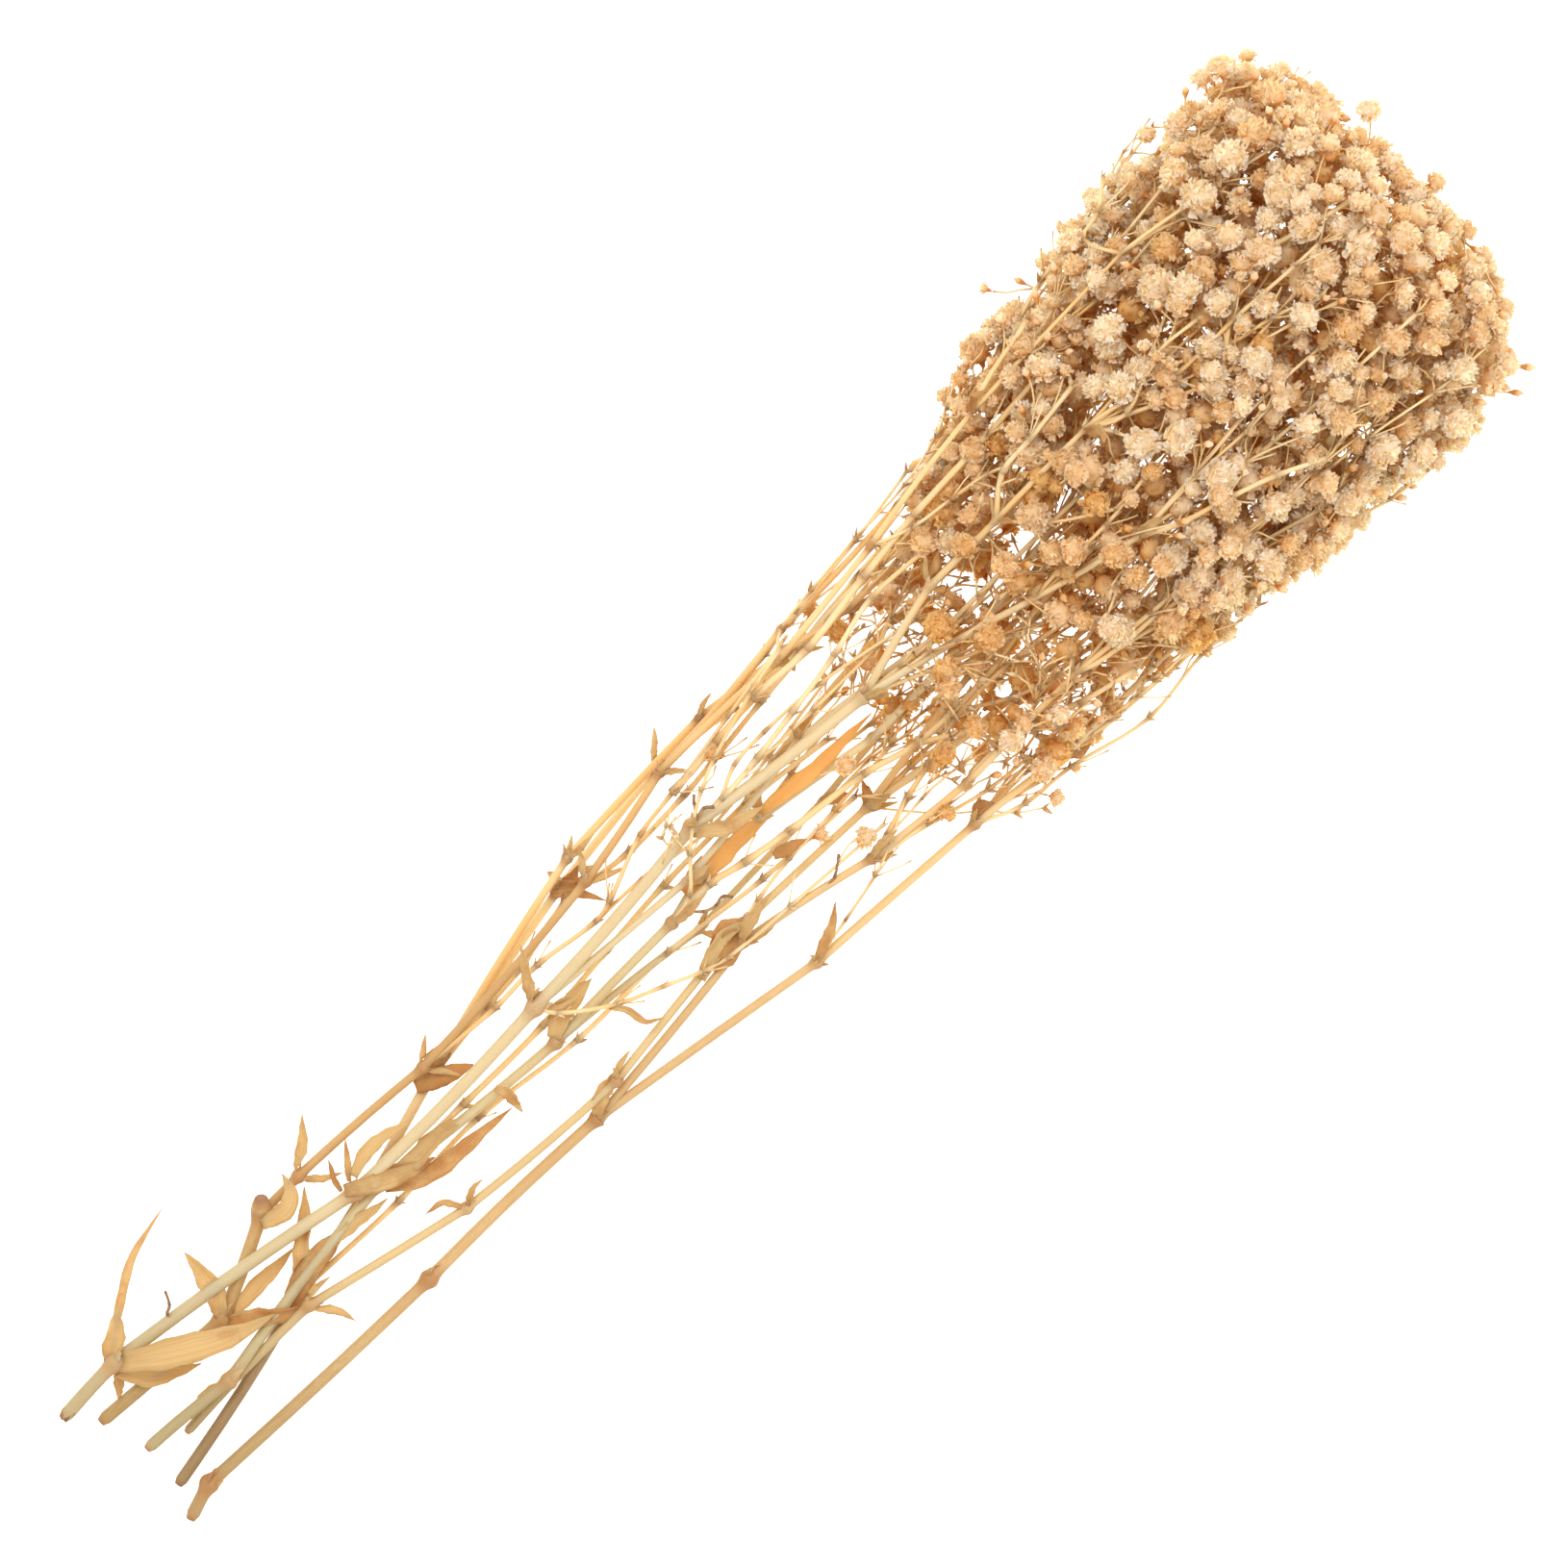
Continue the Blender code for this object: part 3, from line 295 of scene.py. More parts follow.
SHOWN_SHOOTS: tuple[ShootPlan, ...] = tuple(ShootPlan(*row) for row in (
    (2, ((115, 6, 8), (150, 4.5, 10), (184, 4, 14), (214, 6, 17), (240, 7.5, 21), (275, 7, 26),
     (306, 3, 31)), 1),
    (3, ((76, 0, 4), (115, -2, 5), (150, -1.5, 7), (188, -6.5, 10), (226, -7.5, 13), (262, -12.5, 17),
     (300, -15, 22)), 0.9),
    (3, ((149, 17, 8), (176, 20, 10), (192, 21, 12), (215, 25, 17), (240, 22, 19), (264, 22, 22),
     (278, 23, 26), (300, 25, 32), (330, 27, 38)), 1),
    (1, ((150, 21, 13), (178, 18, 16), (196, 18, 19), (218, 14.5, 22), (225, 15.5, 24), (246, 23, 27),
     (262, 25, 29)), 0.8),
    (1, ((262, 25, 29), (282, 26, 33), (299, 27.5, 37), (321, 26, 41), (348, 29, 47), (371, 31, 53),
     (403, 32, 60), (428, 33.5, 66)), 1.15),
    (1, ((262, 25, 29), (290, 29, 34), (318, 33, 40)), 0.6),
    (1, ((218, 14.5, 22), (237, 13.5, 24), (262, 9.5, 27), (290, 12, 31), (322, 16, 36)), 0.6),
    (2, ((234, -2, 20), (243.5, -0.5, 27), (252.5, 8, 34), (260, 14, 37.5), (268.5, 19, 38),
     (278, 23, 38), (300, 29, 41), (316, 32, 44)), 0.6),
    (0, ((259, 14, 33), (271, 13, 35.5), (287, 14, 38), (304, 16, 40), (325, 19, 43), (345, 23, 46),
     (370, 21, 52)), 0.9),
    (0, ((271, 13, 35.5), (281, 17.5, 36), (294, 18, 37), (315, 16.5, 39), (350, 9, 46)), 0.6),
    (2, ((234, -2, 20), (250, -2, 24), (262, -5, 26), (278, -8, 28), (306, -12, 31), (324, -17, 33),
     (352, -18, 38), (372, -15, 44), (400, -13, 52)), 1.1),
    (2, ((324, -17, 33), (338, -26, 35), (352, -36, 38), (366, -43, 42), (385, -48, 47)), 0.9),
    (2, ((324, -17, 33), (342, -21, 34), (353, -27.5, 36), (374, -35, 42), (400, -38, 48)), 0.7),
    (0, ((187, 9.5, 22), (190.5, 3.5, 21), (205, -7.5, 20), (218, -13.5, 19), (230, -19, 19),
     (238, -21.5, 20), (262, -24, 24), (300, -27, 30)), 0.65),
    (4, ((249, -17.5, 17), (256.5, -16, 19.5), (272, -14, 21), (292, -13.5, 22), (318, -12, 25)), 0.6),
    (5, ((290, -31.5, 28), (298, -30, 29), (310, -26.5, 30), (321, -24, 32), (337, -20, 35),
     (360, -20, 41), (385, -24, 47)), 0.9),
    (5, ((256, -42, 14), (271, -39, 20), (286.5, -36, 27), (296.5, -32.5, 30), (310, -26, 32)), 0.45),
    (5, ((290, -31.5, 28), (314, -38, 28), (329, -42, 29), (345, -44, 31)), 0.6),
    (5, ((319, -46.5, 22), (333.5, -53, 23), (351, -55, 25), (378, -61.5, 28), (403, -59.5, 32),
     (425, -61, 36)), 0.6),
    (4, ((300, -20, 17), (315, -38, 19), (324, -46, 21), (330, -53, 22), (337, -58, 24)), 0.32),
    (3, ((264, 34, 16), (290, 33, 22), (311, 34, 27), (326, 36, 29), (354, 38.5, 33), (380, 42, 38)),
     0.6),
    (1, ((312, 30, 36), (320, 36, 34), (334, 37.5, 35), (355, 39, 37), (376, 39.5, 40), (393, 43, 42),
     (401, 46.5, 43), (412, 52, 44)), 0.45),
    (0, ((387, 12.5, 62), (398, 21, 66), (410, 22, 70), (430, 24, 75)), 0.8),
    (0, ((387, 12.5, 62), (397, 1, 66), (413, -10, 72)), 0.55),
    (0, ((378, -11.5, 56), (391, -11, 62), (408, -11.5, 69), (425, -10, 75)), 0.6),
    (0, ((413, -21, 68), (423, -26.5, 71), (438, -31.5, 74), (453, -37, 76), (467, -44, 76)), 0.8),
    (0, ((424, 12.5, 74), (429, 6, 77), (432.5, -3.5, 80), (438, -12.5, 82)), 0.5),
    (0, ((424, 12.5, 74), (435, 7, 78), (453, 13, 82), (469, 11.5, 84)), 0.6),
    (0, ((462, -6, 82), (478, 6, 80), (492, 12, 80), (512, 7, 84), (526, 3.5, 84)), 0.9),
    (1, ((356, 34, 50), (368, 29, 54), (382, 26.5, 58), (395, 24, 62), (408, 17.5, 68)), 0.5),
    (1, ((468, 41, 74), (464, 52, 66), (472.5, 54.5, 66), (481.5, 61, 66)), 0.6),
    (0, ((247, 14, 32), (250.5, 17.5, 35), (253.5, 19, 36), (255, 18.5, 36.5), (254.5, 16.5, 37),
     (252.5, 15, 37)), 0.35),
    (2, ((240, -3.5, 21), (243, -6.5, 24), (247, -8, 24), (250.5, -7.5, 25), (252.5, -10, 25)), 0.45,
     0.8),
    (0, ((260, 14, 35.5), (265.5, 15, 38.5), (268, 13, 38)), 0.5, 1),
    (0, ((260, 14, 35.5), (264.5, 18, 38), (266.5, 20, 38)), 0.4, 1),
    (5, ((268, -27, 24), (278, -27.5, 27), (284, -23.5, 28)), 0.4, 1),
    (0, ((42, 22, 10), (42.5, 24, 11.5), (45, 25.5, 11.5), (47, 29.5, 10)), 0.45, 1),
))
# Blooms that stand alone, in the neck and past the head's outline, as (x, y, radius)
SHOWN_BLOOMS: tuple[Place, ...] = (
    (293, -25.5, 4), (304.5, -6.5, 3.6), (327, -25, 4.2), (330.5, 35, 3.4), (331.5, 23.5, 4.6),
    (342, -12, 4.6), (344, -36.5, 4.2), (344.5, -49.5, 4.2), (341.5, -58.5, 3.2), (359.5, -41.5, 3.4),
    (368, 23.5, 4.2), (375, 14, 4.8), (379, 1, 4.8), (383, 37.5, 3.6), (388, -34.5, 4.2),
    (396, -10, 4.8), (404, -20, 4.8), (416, -50.5, 4.2), (440.5, -9, 5.6), (415, 52, 1.7),
    (424, 53, 3), (430.5, 52.5, 2.6), (435, 63, 2.3), (461, 54, 4.6), (495, 36, 6), (495.5, 46, 6),
    (500, 60.5, 3.2), (523, 60.5, 4), (529.5, 58.5, 5), (540, 56, 3), (543.5, 45.5, 3.1),
    (551, 18.5, 4), (544.5, 3, 3.8), (549.5, -10.5, 3.2), (546, -27, 3.8), (544.5, -33.5, 1.5),
    (544, -39.5, 2.2), (539.5, -47.5, 1.6), (538, -51.5, 3.5), (530, -53.5, 3.2), (525.5, -63.5, 3.4),
    (515.5, -64, 2), (523.5, -72, 1.7),
)


@dataclass(frozen=True)
class Head:
    """The flowering head: its plan outline and how flowers spread through it."""

    stations: Values = (318.0, 345.0, 372.0, 402.0, 435.0, 470.0, 505.0, 530.0, 545.0)
    left: Values = (24.0, 31.0, 38.0, 50.0, 61.0, 62.0, 63.0, 63.0, 46.0)
    right: Values = (-34.0, -56.0, -58.0, -60.0, -66.0, -70.0, -72.0, -70.0, -44.0)
    flatness: float = 0.74
    sink: float = 0.10
    crowding: float = 0.52
    bud_crowding: float = 0.9
    outward: float = 0.33
    bud_outward: Span = (0.85, 1.05)
    room: float = 1.2
    tries: int = 400
    flower_radius: float = 5.4
    small_radius: float = 4.3
    bud_radius: float = 2.0
    flowers: int = 314
    buds: int = 60
    small_share: float = 0.4
    rest: float = 0.66

    def section(self, x: float) -> Values:
        """The head's section across the bunch.

        Args:
            x: Plan position along the bunch.

        Returns:
            Middle y, middle z, half width and half height.
        """
        left = np.interp(x, self.stations, self.left)
        right = np.interp(x, self.stations, self.right)
        half_width = (left - right) / 2
        half_height = half_width * self.flatness
        return (left + right) / 2, half_height * (1 - self.sink), half_width, half_height

    def flower_places(self, rng: Draws) -> tuple[Array, Array]:
        """Spread flowers and buds through the head, denser at its outside.

        Args:
            rng: Source of the growth plan's random draws.

        Returns:
            Their positions and radii.
        """
        kinds = [self.flower_radius] * round(self.flowers * (1 - self.small_share))
        kinds += [self.small_radius] * round(self.flowers * self.small_share)
        kinds += [self.bud_radius] * self.buds
        places: list[Array] = []
        radii: list[float] = []
        for radius in kinds:
            bud = radius == self.bud_radius
            best: tuple[float, Array] | None = None
            for _ in range(self.tries):
                share = rng.random() ** (self.bud_crowding if bud else self.crowding)
                x = self.stations[0] + share * (self.stations[-1] - self.stations[0])
                middle_y, middle_z, half_width, half_height = self.section(x)
                out = rng.uniform(*self.bud_outward) if bud else rng.random() ** self.outward
                angle = rng.random() * FULL_TURN
                y = middle_y + (half_width - radius) * out * math.cos(angle)
                z = middle_z + (half_height - radius) * out * math.sin(angle)
                place = np.array((x, y, max(z, radius * self.rest)))
                room = math.inf
                if places:
                    apart = lengths(np.array(places) - place)
                    room = float(np.min(apart - np.array(radii) - radius))
                if best is None or room > best[0]:
                    best = (room, place)
                if room > self.room:
                    break
            places.append(best[1])
            radii.append(radius)
        return np.array(places), np.array(radii)


@dataclass
class Web:
    """Points and rods that stand for stems, stalks and flowers while they are eased apart."""

    node_gap: float = 0.32
    own_gap: float = 0.15
    stem_rest: float = 0.74
    flower_rest: float = 0.66
    pair_reach: float = 5.0
    least_share: float = 0.05
    points: list = field(default_factory=list)
    ease: list = field(default_factory=list)
    rods: list = field(default_factory=list)

    def add_point(self, place: Iterable[float], ease: Place) -> int:
        """Add a point.

        Args:
            place: Its plan position.
            ease: How far it gives way along X, Y and Z.

        Returns:
            Its number.
        """
        self.points.append(np.array(place, dtype=float))
        self.ease.append(ease)
        return len(self.points) - 1

    def add_late(self, place: Array) -> int:
        """Number of a point added after the rods were eased apart."""
        self.points = np.vstack((self.points, place))
        return len(self.points) - 1

    def add_rod(self, start: int, end: int, radius: float, stem: int) -> None:
        """A rod from point to point, or a ball where both are the same point."""
        self.rods.append((start, end, radius, stem))

    @property
    def columns(self) -> tuple[Array, Array, Array, Array]:
        """Start points, end points, radii and stems of all rods."""
        rods = np.array(self.rods)
        return rods[:, 0].astype(int), rods[:, 1].astype(int), rods[:, 2], rods[:, 3].astype(int)

    def close_pairs(self, points: Array, reach: float) -> tuple[Array, Array]:
        """Pairs of rods near enough to meet, without those that share a point.

        Args:
            points: All points.
            reach: How near two rods have to be.

        Returns:
            Numbers of the first and of the second rod of each pair.
        """
        starts, ends, radii, _ = self.columns
        middles = (points[starts] + points[ends]) / 2
        halves = lengths(points[ends] - points[starts]) / 2 + radii
        first, second = np.triu_indices(len(starts), 1)
        apart = lengths(middles[first] - middles[second])
        near = apart < halves[first] + halves[second] + reach
        first, second = first[near], second[near]
        joined = (starts[first] == starts[second]) | (starts[first] == ends[second])
        joined |= (ends[first] == starts[second]) | (ends[first] == ends[second])
        return first[~joined], second[~joined]

    def gaps(self, points: Array, first: Array, second: Array) -> tuple:
        """Where the rods of each pair come closest.

        Args:
            points: All points.
            first: Numbers of the first rods.
            second: Numbers of the second rods.

        Returns:
            Share along the first rods, share along the second, and the vectors between.
        """
        starts, ends, _, _ = self.columns
        run_a = points[ends[first]] - points[starts[first]]
        run_b = points[ends[second]] - points[starts[second]]
        between = points[starts[first]] - points[starts[second]]
        aa = dots(run_a, run_a)
        bb = dots(run_b, run_b)
        ab = dots(run_a, run_b)
        ac = dots(run_a, between)
        bc = dots(run_b, between)
        flat = np.maximum(aa * bb - ab * ab, SMALLEST)
        share_a = np.clip((ab * bc - ac * bb) / flat, 0, 1)
        share_b = np.clip((ab * share_a + bc) / np.maximum(bb, SMALLEST), 0, 1)
        share_a = np.clip((ab * share_b - ac) / np.maximum(aa, SMALLEST), 0, 1)
        vector = between + share_a[:, None] * run_a - share_b[:, None] * run_b
        return share_a, share_b, vector

    def settle(self, rounds: int, refresh: int) -> None:
        """Ease the rods apart until each pair has its gap, and keep them above the surface.

        Args:
            rounds: Most rounds of easing.
            refresh: Rounds between two searches for close pairs.
        """
        points = np.array(self.points)
        ease = np.array(self.ease)
        starts, ends, radii, stems = self.columns
        lowest = np.zeros(len(points))
        rest = radii * np.where(starts == ends, self.flower_rest, self.stem_rest)
        np.maximum.at(lowest, starts, rest)
        np.maximum.at(lowest, ends, rest)
        for turn in range(rounds):
            if turn % refresh == 0:
                first, second = self.close_pairs(points, self.pair_reach)
                wanted = radii[first] + radii[second]
                wanted += np.where(stems[first] == stems[second], self.own_gap, self.node_gap)
            share_a, share_b, vector = self.gaps(points, first, second)
            length = np.maximum(lengths(vector), SMALLEST)
            lack = wanted - length
            tight = lack > 0
            if not tight.any():
                break
            normal = vector[tight] / length[tight, None]
            corners = (
                (starts[first[tight]], 1 - share_a[tight], 1.0),
                (ends[first[tight]], share_a[tight], 1.0),
                (starts[second[tight]], 1 - share_b[tight], -1.0),
                (ends[second[tight]], share_b[tight], -1.0),
            )
            give = SMALLEST
            for index, share, _ in corners:
                give = give + share**2 * dots(normal**2, ease[index])
            moves = np.zeros_like(points)
            counts = np.ones(len(points))
            for index, share, sign in corners:
                step = sign * (share * lack[tight] / give)[:, None] * normal * ease[index]
                np.add.at(moves, index, step)
                np.add.at(counts, index, (share > self.least_share) / 2)
            points += moves / counts[:, None]
            points[:, 2] = np.maximum(points[:, 2], lowest)
        self.points = points


@dataclass
class Twig:
    """One stalk and what stands on its end: a fork of further twigs, or a flower."""

    point: int
    radius: float
    flower: float = 0.0
    children: list["Twig"] = field(default_factory=list)


@dataclass
class Limb:
    """A run of joints: a stem's trunk, or a limb that leaves one of its joints."""

    stem: int
    is_trunk: bool
    points: list[int]
    leaves: list[float]
    radii: Array
    sprays: list[tuple[int, Twig]] = field(default_factory=list)


@dataclass(frozen=True)
class Blade:
    """A leaf's middle line, the way it faces, its width, and how it has bent and dried."""

    line: list[Array]
    normal: Array
    width: float
    wrap: float = 0.0
    brown: float = 0.4


def leaf_normal(axis: Array, spoke: Array) -> Array:
    """The way a leaf on a spoke from its stem's axis faces."""
    return unit(np.cross(np.cross(axis, spoke), axis))


@dataclass
class Growth:
    """The whole bunch as it grew: limbs, sprays of flowers, and leaves at the joints."""

    head: Head = field(default_factory=Head)
    web: Web = field(default_factory=Web)
    limbs: list[Limb] = field(default_factory=list)
    blades: list[list[Blade]] = field(default_factory=list)
    knot: float = 1.55
    stem_ease: Place = (0.0, 0.02, 0.1)
    twig_ease: Place = (1.0, 1.0, 1.0)
    stalk_radius: float = 0.5
    stalk_growth: float = 0.24
    pedicel: float = 13.0
    pedicel_group: int = 3
    fork_step: float = 0.5
    latest_fork: float = 0.8
    spray_flowers: int = 13
    most_sprays: int = 3
    group_rounds: int = 6
    first_spray: float = 285.0
    nearest_ahead: float = 17.0
    ahead_cost: float = 0.45
    behind_cost: float = 1000.0
    widest_lean: float = 1.3
    lean_allowance: float = 6.0
    lean_cost: float = 400.0
    settle_rounds: int = 240
    pair_refresh: int = 20
    leaf_slender: float = 0.19
    leaf_widths: Span = (1.6, 8.0)
    leaf_lengths: Span = (15.0, 30.0)
    leaf_root: float = 0.7
    least_paired_leaf: float = 11.0
    second_leaf: float = 0.75
    leaf_sizes: Span = (0.85, 1.15)
    leaf_lean: Span = (0.5, 0.9)
    leaf_droop: Span = (-0.7, 0.6)
    leaf_rest: float = 0.55
    leaf_tries: int = 12
    leaf_gap: float = 0.4

    def grow(self) -> None:
        """Plant the stems, give them flowers, ease them apart and set their leaves."""
        rng = np.random.default_rng(SEED)
        for stem, plan in enumerate(STEMS.values()):
            grown = self.add_limb(plan.trunk, plan.radii, stem, None)
            for joint, joints, radii in plan.limbs:
                grown += self.add_limb(joints, radii, stem, grown[joint])
        self.flower_up(rng)
        self.web.settle(self.settle_rounds, self.pair_refresh)
        for stem in range(len(STEMS)):
            self.blades.append([])
            for limb in self.limbs_of(stem):
                self.add_leaves(limb, rng)

    def limbs_of(self, stem: int) -> list[Limb]:
        """The trunk and limbs of a stem."""
        return [limb for limb in self.limbs if limb.stem == stem]

    def add_limb(self, joints: tuple[Joint, ...], radii: Span, stem: int,
                 parent: int | None) -> list[int]:
        """Plant a trunk or a limb.

        Args:
            joints: Its joints.
            radii: Radius at both ends.
            stem: Number of its stem.
            parent: Point that it leaves, or None for a trunk.

        Returns:
            Numbers of its own points.
        """
        own = [self.web.add_point(joint[:3], self.stem_ease) for joint in joints]
        leaves = [joint[3] for joint in joints]
        points = own if parent is None else [parent, *own]
        limb = Limb(stem, parent is None, points, leaves if parent is None else [0, *leaves],
                    np.linspace(radii[0], radii[1], len(points)))
        for start, end, radius in zip(points, points[1:], limb.radii):
            self.web.add_rod(start, end, radius, stem)
        for point, radius in zip(points[1:], limb.radii[1:]):
            self.web.add_rod(point, point, radius * self.knot, stem)
        self.limbs.append(limb)
        return list(own)

    def split(self, places: Array, members: Array, parts: int) -> list[Array]:
        """Part flowers into groups of near neighbours.

        Args:
            places: Positions of all flowers.
            members: Numbers of the flowers to part.
            parts: Number of groups.

        Returns:
            The groups that aren't empty.
        """
        spots = places[members]
        seeds = [spots[np.argmax(lengths(spots - spots.mean(axis=0)))]]
        while len(seeds) < parts:
            apart = np.min([lengths(spots - seed) for seed in seeds], axis=0)
            seeds.append(spots[np.argmax(apart)])
        centres = np.array(seeds)
        for _ in range(self.group_rounds):
            nearest = np.argmin(np.linalg.norm(spots[:, None] - centres[None], axis=2), axis=1)
            for part in range(parts):
                if (nearest == part).any():
                    centres[part] = spots[nearest == part].mean(axis=0)
        groups = [members[nearest == part] for part in range(parts)]
        return [group for group in groups if len(group)]

    def grow_twig(self, places: Array, radii: Array, members: Array,
                  start: int, stem: int) -> Twig:
        """Grow the twig that carries some flowers, forking in twos and threes on its way.

        Args:
            places: Positions of all flowers.
            radii: Radii of all flowers.
            members: Numbers of the flowers that it carries.
            start: Point that it leaves.
            stem: Number of its stem.

        Returns:
            The twig with all that stands on it.
        """
        carried = len(members)
        thickness = self.stalk_radius * carried**self.stalk_growth
        if carried == 1:
            radius = radii[members[0]]
            twig = Twig(self.web.add_point(places[members[0]], self.twig_ease), thickness, radius)
            self.web.add_rod(start, twig.point, twig.radius, stem)
            self.web.add_rod(twig.point, twig.point, radius, stem)
            return twig
        foot = self.web.points[start]
        centre = places[members].mean(axis=0)
        reach = np.linalg.norm(centre - foot)
        ahead = (centre - foot) / reach
        near = carried <= self.pedicel_group
        behind = self.pedicel if near else self.fork_step * (reach - self.pedicel)
        fork = centre - ahead * min(behind, reach * self.latest_fork)
        twig = Twig(self.web.add_point(fork, self.twig_ease), thickness)
        self.web.add_rod(start, twig.point, twig.radius, stem)
        for group in self.split(places, members, 2 if carried in (2, 4) else 3):
            twig.children.append(self.grow_twig(places, radii, group, twig.point, stem))
        return twig

    def flower_up(self, rng: Draws) -> None:
        """Give every flower to the joint that it would grow from, and grow sprays to them.

        Args:
            rng: Source of the growth plan's random draws.
        """
        places, radii = self.head.flower_places(rng)
        sources = []
        for limb in self.limbs:
            far = [p for p in limb.points[1:] if self.web.points[p][0] > self.first_spray]
            sources += [(limb, point) for point in far]
        feet = np.array([self.web.points[point] for _, point in sources])
        run = places[:, None] - feet[None]
        ahead = run[:, :, 0]
        aside = np.linalg.norm(run[:, :, 1:], axis=2)
        cost = aside + self.ahead_cost * ahead
        cost += self.behind_cost * (ahead < self.nearest_ahead)
        cost += self.lean_cost * (aside > ahead * self.widest_lean + self.lean_allowance)
        owner = np.argmin(cost, axis=1)
        for index, (limb, point) in enumerate(sources):
            members = np.nonzero(owner == index)[0]
            if not len(members):
                continue
            parts = min(self.most_sprays, 1 + len(members) // self.spray_flowers)
            for group in self.split(places, members, parts):
                twig = self.grow_twig(places, radii, group, point, limb.stem)
                limb.sprays.append((point, twig))

    def rod_room(self, place: Array, radius: float, joint: int) -> float:
        """Room round a ball.

        Args:
            place: The ball's middle.
            radius: The ball's radius.
            joint: Point whose own rods don't count.

        Returns:
            The gap between the ball and the nearest rod.
        """
        starts, ends, radii, _ = self.web.columns
        other = (starts != joint) & (ends != joint)
        foot = self.web.points[starts[other]]
        run = self.web.points[ends[other]] - foot
        along = dots(place - foot, run)
        along /= np.maximum(dots(run, run), SMALLEST)
        nearest = foot + np.clip(along, 0, 1)[:, None] * run
        return float(np.min(lengths(nearest - place) - radii[other])) - radius

    def leaf_line(self, foot: Array, axis: Array, spoke: Array, length: float,
                  lean: float, droop: float) -> list[Array]:
        """Middle line of a leaf that leans out from its stem and curls at its end.

        Args:
            foot: Where it is rooted.
            axis: The stem's direction.
            spoke: Direction away from the stem.
            length: The leaf's length.
            lean: Angle between stem and leaf at the foot.
            droop: How far it has curled by its tip.

        Returns:
            Points from foot to tip.
        """
        steps = 2 + sum(length > limit for limit in self.leaf_lengths)
        line = [foot]
        for k in range(1, steps + 1):
            angle = lean + droop * (k / steps) ** 2
            line.append(line[-1] + length / steps * turned(axis, spoke, angle))
        return line

    def add_leaves(self, limb: Limb, rng: Draws) -> None:
        """Set leaves at a limb's joints, each turned to a side where it has room.

        Args:
            limb: The trunk or limb.
            rng: Source of the growth plan's random draws.
        """
        for k, length in enumerate(limb.leaves):
            if not length:
                continue
            point = limb.points[k]
            foot = self.web.points[point]
            ahead = self.web.points[limb.points[min(k + 1, len(limb.points) - 1)]] - foot
            behind = foot - self.web.points[limb.points[max(k - 1, 0)]]
            axis = unit(unit(ahead) + unit(behind)) if k else unit(ahead)
            first_turn = rng.random() * FULL_TURN
            found = 0
            for step in range(self.leaf_tries * 2):
                turn = first_turn + math.pi * (step % 2)
                turn += FULL_TURN * (step // 2) / self.leaf_tries
                spoke = spoke_of(axis, turn)
                size = length * (1.0 if found == 0 else self.second_leaf)
                size *= rng.uniform(*self.leaf_sizes)
                lean = rng.uniform(*self.leaf_lean)
                droop = rng.uniform(*self.leaf_droop)
                width = min(self.leaf_widths[1], max(self.leaf_widths[0], size * self.leaf_slender))
                root = foot + spoke * limb.radii[k] * self.leaf_root
                line = self.leaf_line(root, axis, spoke, size, lean, droop)
                room = min(self.rod_room(place, width / 2, point) for place in line[1:])
                if room < self.leaf_gap or min(p[2] for p in line) < width * self.leaf_rest:
                    continue
                self.blades[limb.stem].append(Blade(line, leaf_normal(axis, spoke), width))
                last = point
                for place in line[1:]:
                    last, before = self.web.add_late(place), last
                    self.web.add_rod(before, last, width / 2, limb.stem)
                found += 1
                if found == 2 or length < self.least_paired_leaf:
                    break


@dataclass(frozen=True)
class Strand:
    """A stretch of stem or stalk: its middle line in plan millimetres and how thick it is."""

    line: Array
    radii: Array
    joints: Array  # 1 at a joint, 0 away from it, up to 2 where it is burnt
    # a random tone, with painted shade added on stalks deep inside the head and in the neck
    tone: float


class BloomKind(Enum):
    """How far a flower has opened."""

    FULL = "full"
    SMALL = "small"
    TUCKED = "tucked"
    HALF_OPEN = "half_open"
    BUD = "bud"


@dataclass(frozen=True)
class Bloom:
    """A flower on the end of its stalk."""

    place: Array
    axis: Array
    radius: float
    kind: BloomKind
    # a random tone plus painted shade: browner deep inside the head, in the neck and at the head's foot
    tone: float


@dataclass(frozen=True)
class Bract:
    """A small pointed scale leaf at a joint or fork."""

    place: Array
    axis: Array
    length: float
    width: float
    tone: float


@dataclass
class StemGrowth:
    """All that one stem bears in the fine growth."""

    limbs: list[Strand] = field(default_factory=list)
    twigs: list[Strand] = field(default_factory=list)
    stalks: list[Strand] = field(default_factory=list)
    blooms: list[Bloom] = field(default_factory=list)
    bracts: list[Bract] = field(default_factory=list)
    curls: list[Blade] = field(default_factory=list)


@dataclass(frozen=True)
class Spot:
    """A joint, a fork or an end: its place, the way it points, its radius and its stem."""

    place: Array
    way: Array
    radius: float
    stem: StemGrowth


def swept(start: Spot, end: Spot, count: int) -> Array:
    """Points on a cubic curve between two spots.

    Args:
        start: First spot.
        end: Last spot.
        count: Number of points.

    Returns:
        The points as rows.
    """
    span = np.linalg.norm(end.place - start.place)
    t = np.linspace(0.0, 1.0, count)[:, None]
    line = (2 * t**3 - 3 * t**2 + 1) * start.place + (3 * t**2 - 2 * t**3) * end.place
    return line + (t**3 - 2 * t**2 + t) * start.way * span + (t**3 - t**2) * end.way * span


